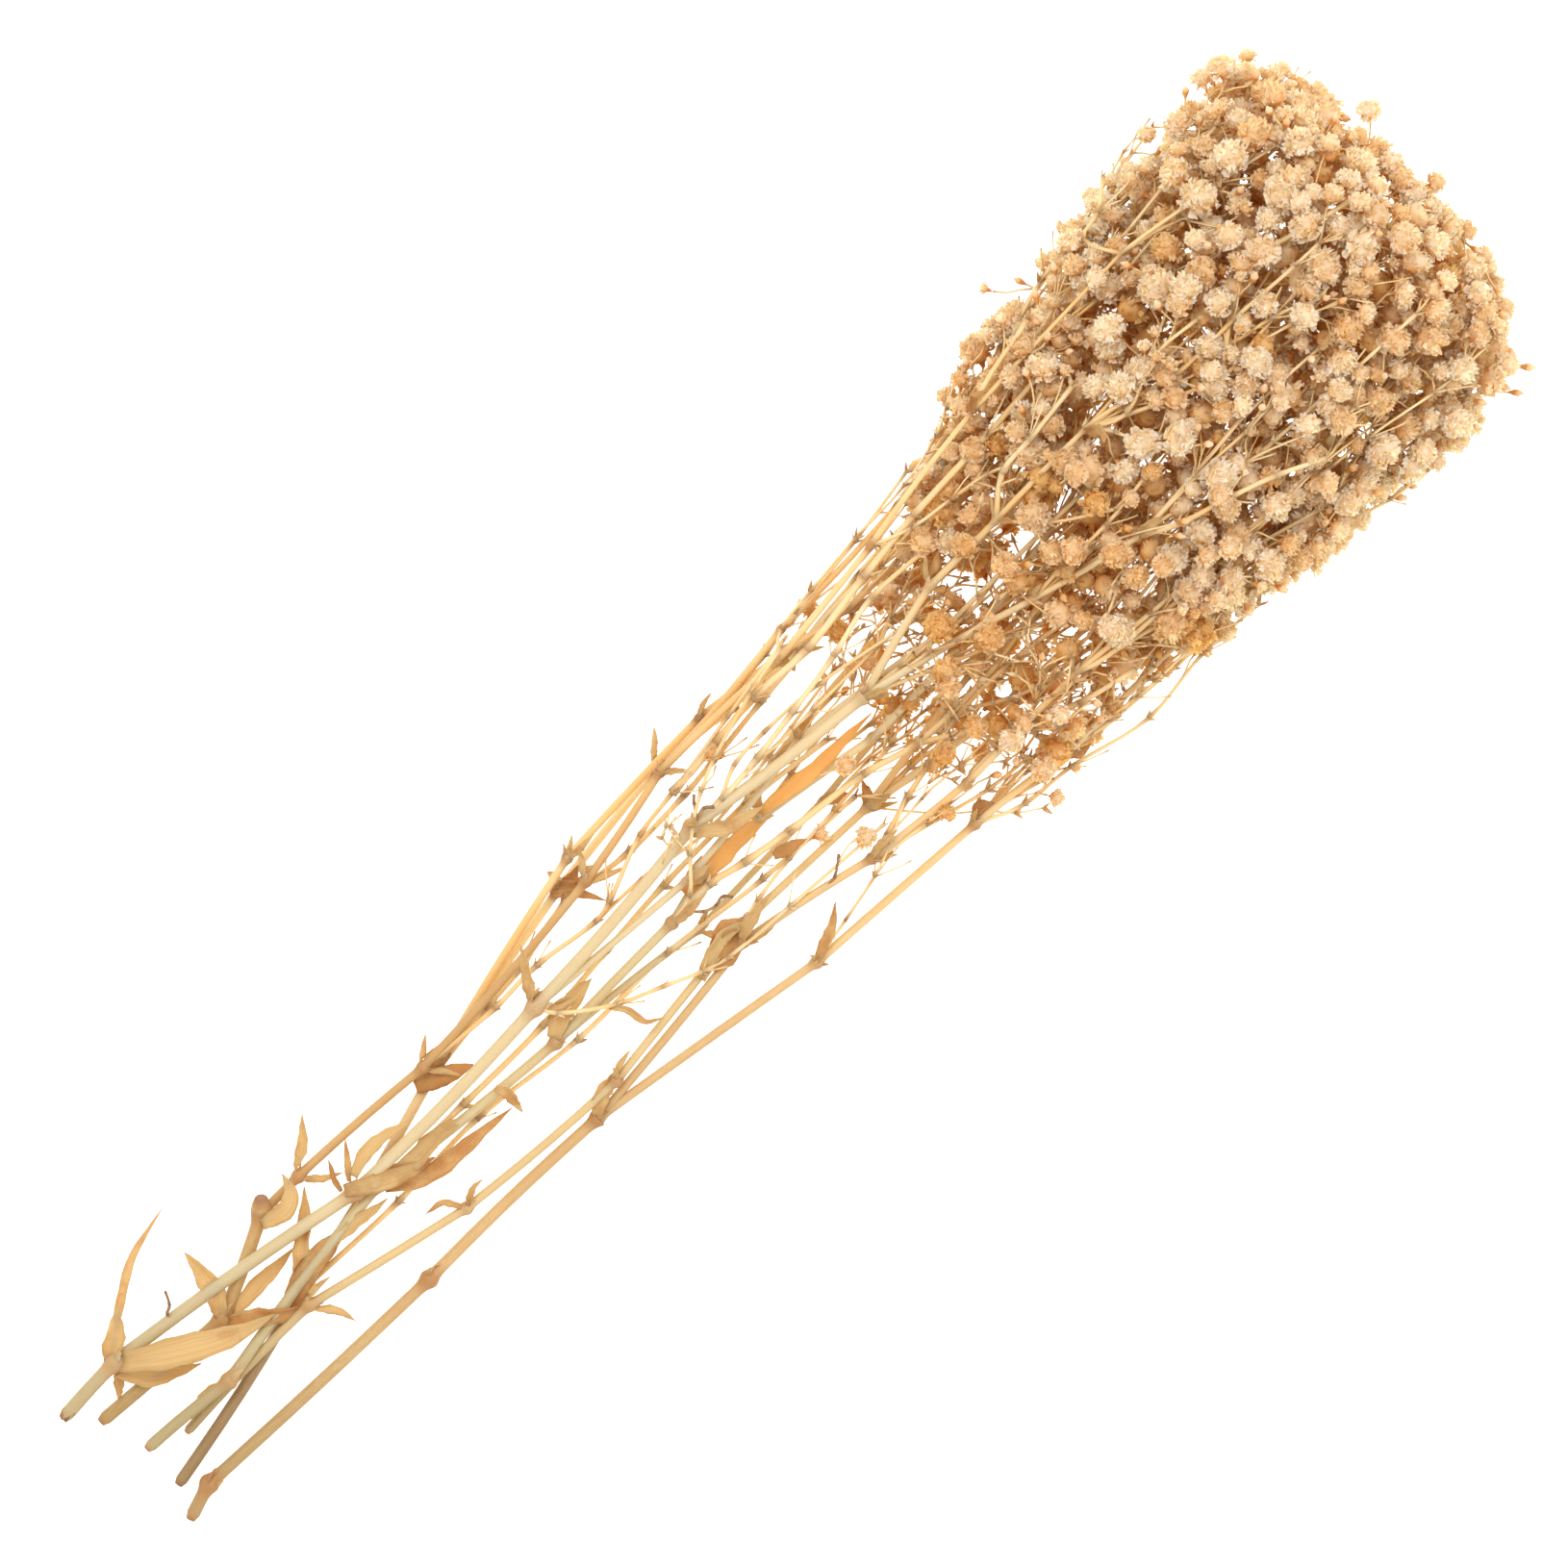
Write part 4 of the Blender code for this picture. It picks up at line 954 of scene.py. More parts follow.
@dataclass
class FineGrowth:
    """Stems and stalks as they curve, side blooms that fill the head, and scale leaves."""

    growth: Growth
    rng: Draws
    stems: list[StemGrowth] = field(default_factory=lambda: [StemGrowth() for _ in STEMS])
    forks: list[Spot] = field(default_factory=list)
    places: Array = field(default_factory=lambda: np.zeros((0, 3)))
    radii: Array = field(default_factory=lambda: np.zeros(0))
    # Trunks and limbs
    joint_samples: Values = (-3.0, -1.9, -1.2, -0.7, -0.3, 0.0, 0.3, 0.7, 1.2, 1.9, 3.0)
    sample_step: float = 11.0
    head_taper: float = 0.4
    taper_run: Span = (320.0, 130.0)
    thin_limb: float = 1.15
    swelling: float = 0.6
    thin_swelling: float = 0.35
    swell_run: float = 1.15
    joint_run: float = 2.6
    joint_brown: Span = (0.55, 1.0)
    bow: float = 0.012
    bow_rise: float = 0.5
    stub_run: Place = (1.8, 1.6, 1.9)
    stub_neck: float = 0.9
    stub_brown: float = 0.1
    # Scale leaves and curled leaves
    clasp_scatter: float = 0.4
    clasp_lean: Span = (0.25, 0.8)
    clasp_length: Span = (2.2, 4.4)
    clasp_shape: Span = (0.7, 1.5)
    bract_lean: Span = (0.4, 0.9)
    bract_length: Span = (2.0, 4.6)
    bract_shape: Span = (0.5, 0.36)
    curls_from: float = 130.0
    most_curls: int = 2
    curl_root: float = 0.6
    curl_length: Span = (5.0, 12.0)
    curl_lean: Span = (0.2, 1.2)
    curl_droop: Span = (-1.6, 1.2)
    curl_width: Span = (0.24, 0.42)
    # Stalks
    stalk_radius: float = 0.3
    stalk_growth: float = 1.2
    twig_least: float = 0.42
    lean_in: float = 0.45
    wander: float = 0.12
    stalk_step: float = 4.5
    stalk_steps: tuple[int, int] = (3, 12)
    stalk_taper: Span = (1.06, 0.12)
    end_runs: Span = (1.4, 1.2)
    end_swelling: float = 0.35
    end_brown: float = 0.6
    # painted shade: how much darker and more orange a stalk is painted deep inside the head
    stalk_shade: float = 0.75
    # Side shoots
    shoot_taper: float = 0.25
    shoot_reach: Span = (257.0, 440.0)
    most_shoots: int = 4
    shoot_lengths: Span = (40.0, 130.0)
    shoot_spread: Span = (0.05, 0.22)
    shoot_start: float = 2.5
    shoot_radius: Span = (0.38, 0.72)
    shoot_step: Span = (13.0, 32.0)
    least_step: float = 8.0
    shoot_wander: float = 0.09
    shoot_lowest: float = 1.5
    shoot_thinning: float = 0.93
    neck: Values = (190.0, 250.0, 290.0, 318.0)
    neck_sides: tuple[Values, Values] = ((29, 31, 33, 34), (-26, -34, -44, -50))
    head_reach: float = 1.04
    most_side_stalks: int = 3
    side_stalk: Span = (5.0, 15.0)
    side_lowest: float = 1.0
    small_chance: float = 0.35
    small_radii: Span = (3.4, 2.4)
    bloom_chances: Span = (0.4, 0.06)
    clear_share: float = 0.7
    side_thinness: float = 0.75
    side_bend: float = 0.4
    # Blooms
    full_share: float = 1.0
    small_share: float = 0.98
    bud_share: float = 0.95
    bloom_sizes: Span = (0.92, 1.1)
    tucked_depth: float = 0.55
    tilt: float = 0.3
    bloom_foot: float = 0.92
    face_out: float = 0.8
    bloom_tone: float = 0.45
    # painted shade: how much browner blooms are painted deep inside the head, at the head's foot and,
    # with stalks, in the neck
    bloom_shade: float = 0.5
    foot_shade: float = 0.15
    neck_shade: float = 0.3
    margins: Span = (2.0, 1.0)
    # Filling the head
    fill_tries: int = 30000
    most_blooms: int = 1780
    side_radii: Values = (5.5, 5.2, 4.9, 4.6, 4.3, 4.0, 3.5, 2.7, 1.9)
    fill_bias: float = 0.6
    fill_outward: float = 0.3
    upper_share: float = 0.74
    upper_side: float = 0.55
    lying: Span = (0.95, 1.5)
    side_reach: Span = (7.0, 30.0)
    side_lean: float = 0.5
    side_overlap: float = 0.62
    shown_spare: float = 25.0
    clump_run: Place = (10.0, 8.0, 8.5)
    clump_depth: float = 0.6
    thinner: Span = (325.0, 412.0)
    clump_edges: Span = (0.7, -0.25)
    bare_stalks: int = 700
    tip_reach: float = 3.0
    edge_run: Place = (9.0, 12.0, 8.0)
    edge_wave: float = 0.28
    hollow: Values = (505, 5, 12, 7)
    hollow_floor: float = 52.0
    bare_limbs: Place = (318.0, 442.0, 1.5)
    opening: Values = (2.0, 3.0, 4.0)
    side_heading: Span = (0.3, 0.5)
    side_tilt: float = 0.15
    side_stalk_share: float = 0.9

    def grow(self) -> None:
        """Follow the plan limb by limb, then fill the head with side blooms."""
        for limb in self.growth.limbs:
            self.follow_limb(limb)
        for limb in self.growth.limbs:
            ahead = unit(self.at(limb.points[-1]) - self.at(limb.points[0]))
            for point, twig in limb.sprays:
                self.follow_twig(twig, Spot(self.at(point), ahead, 0.0, self.stems[limb.stem]))
        for plan in SHOWN_SHOOTS:
            self.follow_shoot(plan)
        for limb in self.growth.limbs:
            self.shoot_from(limb)
        for x, y, radius in SHOWN_BLOOMS:
            self.show_bloom(x, y, radius)
        self.fill()

    def at(self, point: int) -> Array:
        """Plan position of a point of the growth."""
        return self.growth.web.points[point]

    def follow_limb(self, limb: Limb) -> None:
        """Lay a trunk or limb through its joints, swollen there, with scale leaves.

        Args:
            limb: The trunk or limb.
        """
        stem = self.stems[limb.stem]
        joints = np.array([self.at(point) for point in limb.points])
        spans = lengths(np.diff(joints, axis=0))
        stations = np.concatenate(([0.0], np.cumsum(spans)))
        near = np.array(self.joint_samples)
        samples = [np.arange(0.0, stations[-1], self.sample_step), [stations[-1]]]
        samples += [station + near * radius for station, radius in zip(stations, limb.radii)]
        along = np.unique(np.round(np.clip(np.concatenate(samples), 0, stations[-1]), 1))
        line = along_line(along, stations, joints)
        radii = np.interp(along, stations, limb.radii)
        start, run = self.taper_run
        radii *= 1 - self.head_taper * np.clip((line[:, 0] - start) / run, 0, 1)
        swell = np.zeros(len(along))
        brown = np.zeros(len(along))
        for k, (station, radius) in enumerate(zip(stations, limb.radii)):
            if k == 0 and limb.is_trunk:
                continue
            apart = np.abs(along - station) / radius
            rise = self.thin_swelling if radius < self.thin_limb else self.swelling
            swell = np.maximum(swell, rise * np.exp(-((apart / self.swell_run) ** 2)))
            depth = self.rng.uniform(*self.joint_brown)
            brown = np.maximum(brown, depth * np.exp(-((apart / self.joint_run) ** 2)))
        for k, span in enumerate(spans):
            inside = (along >= stations[k]) & (along <= stations[k + 1])
            wave = np.sin(np.pi * (along[inside] - stations[k]) / span)
            side, up = across(unit(joints[k + 1] - joints[k]))
            turn = self.rng.uniform(0, FULL_TURN)
            way = math.cos(turn) * side + self.bow_rise * abs(math.sin(turn)) * up
            line[inside] += wave[:, None] * way * span * self.bow
        radii = radii * (1 + swell)
        if limb.is_trunk and limb.stem == BROKEN_STEM:
            line = np.vstack((line, line[-1] + self.stub_run))
            radii = np.append(radii, radii[-1] * self.stub_neck)
            brown = np.append(brown, self.stub_brown)
        stem.limbs.append(Strand(line, radii, brown, self.rng.random()))
        for before, joint, radius in zip(joints, joints[1:], limb.radii[1:]):
            self.clasp(Spot(joint, unit(joint - before), radius, stem))

    def clasp(self, joint: Spot) -> None:
        """Set a pair of scale leaves that clasp a joint.

        Args:
            joint: The joint.
        """
        turn = self.rng.uniform(0, FULL_TURN)
        root, girth = self.clasp_shape
        for _ in range(2):
            spoke = spoke_of(joint.way, turn)
            turn += math.pi + self.rng.uniform(-self.clasp_scatter, self.clasp_scatter)
            way = turned(joint.way, spoke, self.rng.uniform(*self.clasp_lean))
            length = joint.radius * self.rng.uniform(*self.clasp_length)
            joint.stem.bracts.append(Bract(joint.place + spoke * joint.radius * root, way, length,
                                           joint.radius * girth, self.rng.random()))

    def fork_bracts(self, fork: Spot) -> None:
        """Set two small pointed bracts at a fork.

        Args:
            fork: The fork.
        """
        turn = self.rng.uniform(0, FULL_TURN)
        root, slender = self.bract_shape
        for k in range(2):
            spoke = spoke_of(fork.way, turn + k * math.pi)
            way = turned(fork.way, spoke, self.rng.uniform(*self.bract_lean))
            length = self.rng.uniform(*self.bract_length)
            fork.stem.bracts.append(Bract(fork.place + spoke * fork.radius * root, way, length,
                                          length * slender, self.rng.random()))

    def follow_twig(self, twig: Twig, foot: Spot) -> None:
        """Carry a stalk to its fork or flower, and on from there.

        Args:
            twig: The twig of the plan.
            foot: What it grows from.
        """
        end = self.at(twig.point)
        chord = unit(end - foot.place)
        start = replace(foot, way=unit(chord + foot.way * self.lean_in), radius=self.stalk_radius)
        arrive = unit(chord + self.rng.normal(0, self.wander, 3))
        if twig.flower:
            kind, size = self.kind_of(twig.flower, end)
            way = unit(arrive + self.rng.normal(0, self.tilt, 3) + self.outward(end))
            self.set_bloom(start, Spot(end, way, size, foot.stem), kind)
            return
        growth = (twig.radius / self.growth.stalk_radius) ** self.stalk_growth
        fork = Spot(end, arrive, self.stalk_radius * growth, foot.stem)
        self.lay_stalk(replace(start, radius=fork.radius), fork)
        self.fork_bracts(fork)
        for child in twig.children:
            self.follow_twig(child, fork)

    def follow_shoot(self, plan: ShootPlan) -> None:
        """Lay a side stem that shows, from the nearest part of its stem through its joints.

        Args:
            plan: The side stem.
        """
        stem = self.stems[plan.stem]
        line = np.array(plan.line, dtype=float)
        carrier = np.vstack([strand.line for strand in stem.limbs + stem.twigs])
        line[0] = carrier[np.argmin(lengths(carrier - line[0]))]
        ways = np.gradient(line, axis=0)
        spots = [Spot(place, unit(way), plan.radius * (1 - self.shoot_taper * k / len(line)), stem)
                 for k, (place, way) in enumerate(zip(line, ways))]
        for k, (start, end) in enumerate(zip(spots, spots[1:])):
            self.lay_stalk(start, end, 2 * plan.burnt * k / len(line) + plan.burnt)
            if plan.burnt:
                continue
            joint = replace(end, radius=start.radius)
            self.fork_bracts(joint)
            if k % 2:
                self.side_stalks(joint)

    def lay_stalk(self, start: Spot, end: Spot, burnt: float = 0.0) -> None:
        """Add a stalk as thick as its start, and keep its middle for others to leave from.

        Args:
            start: Its foot.
            end: Its end.
            burnt: How dark it has gone, from 0 to 2.
        """
        span = np.linalg.norm(end.place - start.place)
        count = int(np.clip(span / self.stalk_step, *self.stalk_steps)) + 1
        line = swept(start, end, count)
        share = np.linspace(0, 1, count)
        foot_run, end_run = self.end_runs
        near_end = np.exp(-((share * span / foot_run) ** 2))
        near_end += np.exp(-(((1 - share) * span / end_run) ** 2))
        widest, taper = self.stalk_taper
        radii = start.radius * (widest - taper * share) * (1 + self.end_swelling * near_end)
        # Its tone is random plus painted shade, darker deep inside the head and in the neck.
        strand = Strand(line, radii, np.minimum(self.end_brown * near_end + burnt, 2.0),
                        0.5 * self.rng.random() + self.stalk_shade * self.shade_at(end.place))
        thick = start.radius > self.twig_least
        (start.stem.twigs if thick else start.stem.stalks).append(strand)
        here, there = line[count // 2:][:2]
        self.forks.append(Spot(here, unit(there - here), start.radius, start.stem))

    def shoot_from(self, limb: Limb) -> None:
        """Grow thin side shoots and curled leaves from a limb's joints in the bunch's neck.

        Args:
            limb: The limb.
        """
        places = [self.at(point) for point in limb.points]
        for k in range(1, len(places)):
            axis = unit(places[k] - places[k - 1])
            if k + 1 < len(places):
                axis = unit(axis + unit(places[k + 1] - places[k]))
            joint = Spot(places[k], axis, limb.radii[k], self.stems[limb.stem])
            if self.curls_from < places[k][0]:
                self.curl_leaves(joint)
            if self.shoot_reach[0] < places[k][0] < self.shoot_reach[1]:
                for _ in range(self.rng.integers(1, self.most_shoots + 1)):
                    self.grow_shoot(joint)

    def curl_leaves(self, joint: Spot) -> None:
        """Set a few small curled leaves at a joint.

        Args:
            joint: The joint.
        """
        for _ in range(self.rng.integers(0, self.most_curls + 1)):
            spoke = spoke_of(joint.way, self.rng.uniform(0, FULL_TURN))
            length = self.rng.uniform(*self.curl_length)
            lean = self.rng.uniform(*self.curl_lean)
            foot = joint.place + spoke * joint.radius * self.curl_root
            line = self.growth.leaf_line(foot, joint.way, spoke, length, lean,
                                         self.rng.uniform(*self.curl_droop))
            width = length * self.rng.uniform(*self.curl_width)
            joint.stem.curls.append(Blade(line, leaf_normal(joint.way, spoke), width,
                                          brown=self.rng.random()))

    def grow_shoot(self, joint: Spot) -> None:
        """Grow a thin shoot beside a limb, jointed, with short stalks at its own joints.

        Args:
            joint: The limb's joint that it leaves.
        """
        length = self.rng.uniform(*self.shoot_lengths)
        side, up = across(joint.way)
        turn = self.rng.uniform(0, FULL_TURN)
        spoke = math.cos(turn) * side + abs(math.sin(turn)) * up
        spread = self.rng.uniform(*self.shoot_spread)
        here = replace(joint, way=unit(joint.way + spoke * spread * self.shoot_start),
                       radius=self.rng.uniform(*self.shoot_radius))
        gone = 0.0
        while gone < length and here.place[0] < self.growth.head.stations[-2]:
            step = min(self.rng.uniform(*self.shoot_step), max(length - gone, self.least_step))
            way = unit(joint.way + spoke * spread + self.rng.normal(0, self.shoot_wander, 3))
            place = here.place + way * step
            place[2] = max(place[2], self.shoot_lowest)
            if not self.has_room(place):
                return
            there = replace(here, place=place, way=way)
            self.lay_stalk(here, there)
            self.fork_bracts(there)
            self.forks.append(there)
            self.side_stalks(there)
            here = replace(there, radius=there.radius * self.shoot_thinning)
            gone += step

    def has_room(self, place: Array) -> bool:
        """Whether a shoot may reach a place: inside the head, or between the neck's sides.

        Args:
            place: The plan position.

        Returns:
            Whether it may.
        """
        if place[0] > self.growth.head.stations[0]:
            return self.depth(place, 0.0) < self.head_reach
        left, right = (np.interp(place[0], self.neck, side) for side in self.neck_sides)
        return right < place[1] < left

    def side_stalks(self, joint: Spot) -> None:
        """Set a short stalk or two at a shoot's joint, some with a small bloom.

        Args:
            joint: The joint.
        """
        for _ in range(self.rng.integers(1, self.most_side_stalks + 1)):
            turn = self.rng.uniform(0, FULL_TURN)
            lean = self.rng.uniform(*self.clasp_lean)
            way = turned(joint.way, spoke_of(joint.way, turn), lean)
            end = joint.place + way * self.rng.uniform(*self.side_stalk)
            end[2] = max(end[2], self.side_lowest)
            chance = self.rng.random()
            in_head = end[0] > self.growth.head.stations[0]
            radius = self.small_radii[chance >= self.small_chance]
            bears = chance < self.bloom_chances[not in_head]
            clear = np.min(lengths(self.places - end) - self.radii) > radius * self.clear_share
            if bears and clear and (not in_head or self.inside(end, radius)):
                self.side_bloom(joint, end, radius)
            elif self.has_room(end):
                start = replace(joint, way=way, radius=self.stalk_radius * self.side_thinness)
                arrive = unit(way + joint.way * self.side_bend)
                self.lay_stalk(start, replace(start, place=end, way=arrive))

    def kind_of(self, radius: float, place: Array) -> tuple[BloomKind, float]:
        """How far a plan flower has opened, and its radius in the fine growth.

        Args:
            radius: Its radius in the plan.
            place: Its middle.

        Returns:
            Its kind and its radius.
        """
        if radius == self.growth.head.bud_radius:
            return BloomKind.BUD, radius * self.bud_share
        small = radius == self.growth.head.small_radius
        size = radius * (self.small_share if small else self.full_share)
        kind = BloomKind.SMALL if small else BloomKind.FULL
        if self.depth(place, 0.0) < self.tucked_depth:
            kind = BloomKind.TUCKED
        return kind, size * self.rng.uniform(*self.bloom_sizes)

    def set_bloom(self, start: Spot, bloom: Spot, kind: BloomKind) -> None:
        """Add a bloom on its stalk, painted browner inside the head as shade, and keep its place for
        itself.

        Args:
            start: The stalk's foot.
            bloom: The bloom's middle, the way it faces and its radius.
            kind: How far it has opened.
        """
        neck = bloom.place - bloom.way * bloom.radius * self.bloom_foot
        self.lay_stalk(start, replace(bloom, place=neck))
        # Its tone is random plus painted shade, browner deep inside the head, in the neck and at the
        # head's foot.
        tone = self.bloom_tone * self.rng.random()
        tone += self.bloom_shade * self.shade_at(bloom.place)
        tone += self.foot_shade * (bloom.place[0] < self.thinner[1])
        bloom.stem.blooms.append(Bloom(bloom.place, bloom.way, bloom.radius, kind, tone))
        self.places = np.vstack((self.places, bloom.place))
        self.radii = np.append(self.radii, bloom.radius)

    def depth(self, place: Array, radius: float) -> float:
        """How far out a bloom stands: 0 on the head's middle line, 1 at its outline.

        Args:
            place: The bloom's middle.
            radius: The bloom's radius.

        Returns:
            The share, squared.
        """
        middle_y, middle_z, half_width, half_height = self.growth.head.section(place[0])
        aside = (place[1] - middle_y) / (half_width + self.margins[0] - radius)
        above = (place[2] - middle_z) / (half_height + self.margins[1] - radius)
        return aside**2 + above**2

    def shade_at(self, place: Array) -> float:
        """How far inside the head a place is: 1 on its middle line, 0 at its outline."""
        in_neck = place[0] < self.growth.head.stations[0]
        return self.neck_shade if in_neck else 1.0 - min(self.depth(place, 0.0), 1.0)

    def outward(self, place: Array) -> Array:
        """How a bloom turns away from the head's middle line, most at the outline.

        Args:
            place: Plan position of the bloom.

        Returns:
            What is added to its direction.
        """
        middle_y, middle_z, half_width, half_height = self.growth.head.section(place[0])
        return self.face_out * np.array((0.0, (place[1] - middle_y) / half_width,
                                         (place[2] - middle_z) / half_height))

    def inside(self, place: Array, radius: float) -> bool:
        """Whether a bloom is above the surface, inside the head's wavy outline, off bare limbs.

        Args:
            place: The bloom's middle.
            radius: The bloom's radius.

        Returns:
            Whether it may stand there.
        """
        tip = self.growth.head.stations[-1] + self.tip_reach
        if place[2] < radius * self.lying[0] or place[0] > tip:
            return False
        if self.depth(place, radius) > 1.0 + self.edge_wave * waves(place, self.edge_run):
            return False
        x, y, long, wide = self.hollow
        if ((place[0] - x) / long)**2 + ((place[1] - y) / wide)**2 < 1 and (
                place[2] > self.hollow_floor):
            return False
        first, last, gap = self.bare_limbs
        line = np.vstack([limb.line for limb in self.stems[0].limbs])
        line = line[(line[:, 0] > first) & (line[:, 0] < last) & (line[:, 2] < place[2])]
        return not (lengths(line[:, :2] - place[:2]) < radius + gap).any()

    def draw_place(self, radius: float) -> Array:
        """A place for a side bloom, most often near the head's upper outline.

        Args:
            radius: The bloom's radius.

        Returns:
            Its middle.
        """
        head = self.growth.head
        share = self.rng.random() ** self.fill_bias
        x = head.stations[0] + share * (head.stations[-1] + self.margins[0] - head.stations[0])
        middle_y, middle_z, half_width, half_height = head.section(x)
        if self.rng.random() < self.upper_share:
            angle = self.rng.uniform(-self.upper_side, math.pi + self.upper_side)
        else:
            angle = self.rng.uniform(0, FULL_TURN)
        out = self.rng.random() ** self.fill_outward
        y = middle_y + (half_width + self.margins[0] - radius) * out * math.cos(angle)
        z = middle_z + (half_height + self.margins[1] - radius) * out * math.sin(angle)
        return np.array((x, y, max(z, radius * self.rng.uniform(*self.lying))))

    def fill(self) -> None:
        """Set side blooms in clumps where the head has room, and bare stalks at its foot."""
        bare = 0
        for _ in range(self.fill_tries):
            if len(self.radii) >= self.most_blooms:
                return
            radius = self.side_radii[self.rng.integers(len(self.side_radii))]
            place = self.draw_place(radius)
            tight = lengths(self.places - place) < (self.radii + radius) * self.side_overlap
            if tight.any() or not self.inside(place, radius):
                continue
            at_foot = place[0] < self.thinner[1]
            edge = np.interp(place[0], self.thinner, self.clump_edges)
            loose = at_foot or self.depth(place, 0.0) > self.clump_depth
            if not loose or waves(place, self.clump_run) >= edge:
                self.reach_for(place, radius)
            elif at_foot and bare < self.bare_stalks:
                self.reach_for(place, 0.0)
                bare += 1

    def reach_for(self, place: Array, radius: float, spare: float = 0.0) -> None:
        """Set a side bloom on a stalk from the nearest stalk or fork behind it, if one is near.

        Args:
            place: The bloom's middle.
            radius: The bloom's radius, or 0 for a bare stalk.
            spare: How much longer than most its stalk may be.
        """
        run = place - np.array([fork.place for fork in self.forks])
        reach = lengths(run)
        ahead = dots(run, np.array([fork.way for fork in self.forks]))
        usable = (reach > self.side_reach[0] + radius) & (reach < self.side_reach[1] + spare)
        usable &= ahead > reach * self.side_lean
        if not usable.any():
            return
        fork = self.forks[np.argmin(np.where(usable, reach, math.inf))]
        if radius:
            self.side_bloom(fork, place, radius)
            return
        way = unit(place - fork.place)
        end = Spot(place, way, self.stalk_radius, fork.stem)
        self.lay_stalk(replace(end, place=fork.place, way=unit(way + fork.way)), end)
        self.fork_bracts(end)

    def show_bloom(self, x: float, y: float, radius: float) -> None:
        """Set a bloom that stands alone on the head's upper side, or at its outline.

        Args:
            x: Plan position along the bunch.
            y: Plan position across it.
            radius: The bloom's radius.
        """
        middle_y, middle_z, half_width, half_height = self.growth.head.section(x)
        inward = max(0.0, 1 - ((y - middle_y) / half_width) ** 2)
        z = middle_z + (half_height - radius) * math.sqrt(inward)
        self.reach_for(np.array((x, y, z)), radius, self.shown_spare)

    def side_bloom(self, fork: Spot, place: Array, radius: float) -> None:
        """Add a side bloom with its stalk.

        Args:
            fork: Where its stalk leaves.
            place: The bloom's middle.
            radius: The bloom's radius.
        """
        bud, half, full = self.opening
        kind = BloomKind.SMALL
        if radius < bud:
            kind = BloomKind.BUD
        elif radius < half:
            kind = BloomKind.HALF_OPEN
        elif self.depth(place, 0.0) < self.tucked_depth:
            kind = BloomKind.TUCKED
        elif radius > full:
            kind = BloomKind.FULL
        chord = unit(place - fork.place)
        faced, leaving = self.side_heading
        way = unit(chord + fork.way * faced + self.rng.normal(0, self.side_tilt, 3)
                   + self.outward(place))
        start = replace(fork, way=unit(chord + fork.way * leaving),
                        radius=self.stalk_radius * self.side_stalk_share)
        self.set_bloom(start, Spot(place, way, radius, fork.stem), kind)


def deselect_all() -> None:
    """Leave nothing selected."""
    bpy.ops.object.select_all(action="DESELECT")


def shown(name: str, data: bpy.types.ID) -> Item:
    """Put a new object in the scene, at the origin.

    Args:
        name: Its name.
        data: Its mesh, curve, lamp or camera.

    Returns:
        The object.
    """
    item = bpy.data.objects.new(name, data)
    bpy.context.scene.collection.objects.link(item)
    return item


class Bench:
    """The active object under edit: vertices are picked by place and moved with edit tools."""

    def __enter__(self) -> "Bench":
        """Open the active object in edit mode.

        Returns:
            The bench.
        """
        bpy.ops.object.mode_set(mode="EDIT")
        bpy.ops.mesh.select_mode(type="VERT")
        return self

    def __exit__(self, *_: object) -> None:
        """Close edit mode."""
        bpy.ops.object.mode_set(mode="OBJECT")

    def pick(self, test: Callable[[Vector], bool]) -> None:
        """Select the vertices whose place passes a test, and nothing else.

        Args:
            test: Tells for a place whether its vertex is picked.
        """
        shape = bmesh.from_edit_mesh(bpy.context.active_object.data)
        for vertex in shape.verts:
            vertex.select = test(vertex.co)
        shape.select_flush_mode()
        bmesh.update_edit_mesh(bpy.context.active_object.data)

    def pick_all(self) -> None:
        """Select every vertex."""
        self.pick(lambda co: True)

    def move(self, x: float, y: float, z: float) -> None:
        """Move what is picked."""
        bpy.ops.transform.translate(value=(x, y, z))

    def scale(self, x: float, y: float, z: float) -> None:
        """Scale what is picked about the origin."""
        bpy.ops.transform.resize(value=(x, y, z), center_override=(0.0, 0.0, 0.0))


def note(mesh: Mesh, name: str, values: Array | float) -> None:
    """Write a number on every vertex of a mesh, for its material to read.

    Args:
        mesh: The mesh.
        name: Name of the attribute.
        values: One value for all, or one for each vertex.
    """
    layer = mesh.attributes.get(name) or mesh.attributes.new(name, "FLOAT", "POINT")
    full = np.broadcast_to(np.asarray(values, np.float32), (len(mesh.vertices),))
    layer.data.foreach_set("value", np.ascontiguousarray(full))


def corners_of(mesh: Mesh) -> Array:
    """The places of a mesh's vertices.

    Args:
        mesh: The mesh.

    Returns:
        The places as rows.
    """
    flat = np.zeros(len(mesh.vertices) * 3, np.float32)
    mesh.vertices.foreach_get("co", flat)
    return flat.reshape(-1, 3)


def copied(form: Mesh, place: Matrix, **notes: float) -> Item:
    """A copy of a modelled form with its own mesh, in place in that mesh.

    Args:
        form: The form, modelled once.
        place: Where and how large the copy is.
        notes: Numbers for its material, by attribute name.

    Returns:
        The copy as an object at the origin.
    """
    mesh = form.copy()
    mesh.transform(place)
    for name, value in notes.items():
        note(mesh, name, value)
    return shown(form.name, mesh)


def joined(name: str, items: list[Item]) -> Item:
    """Join objects into one.

    Args:
        name: Name of the object that they become.
        items: The objects.

    Returns:
        The joined object.
    """
    deselect_all()
    for item in items:
        item.select_set(True)
    whole = items[0]
    bpy.context.view_layer.objects.active = whole
    if len(items) > 1:
        bpy.ops.object.join()
    whole.name = name
    whole.data.name = name
    return whole


def kept_form(name: str) -> Mesh:
    """Take the mesh of the active object as a form, and remove the object.

    Args:
        name: Name of the form.

    Returns:
        The form.
    """
    item = bpy.context.active_object
    mesh = item.data
    mesh.name = name
    bpy.data.objects.remove(item)
    return mesh


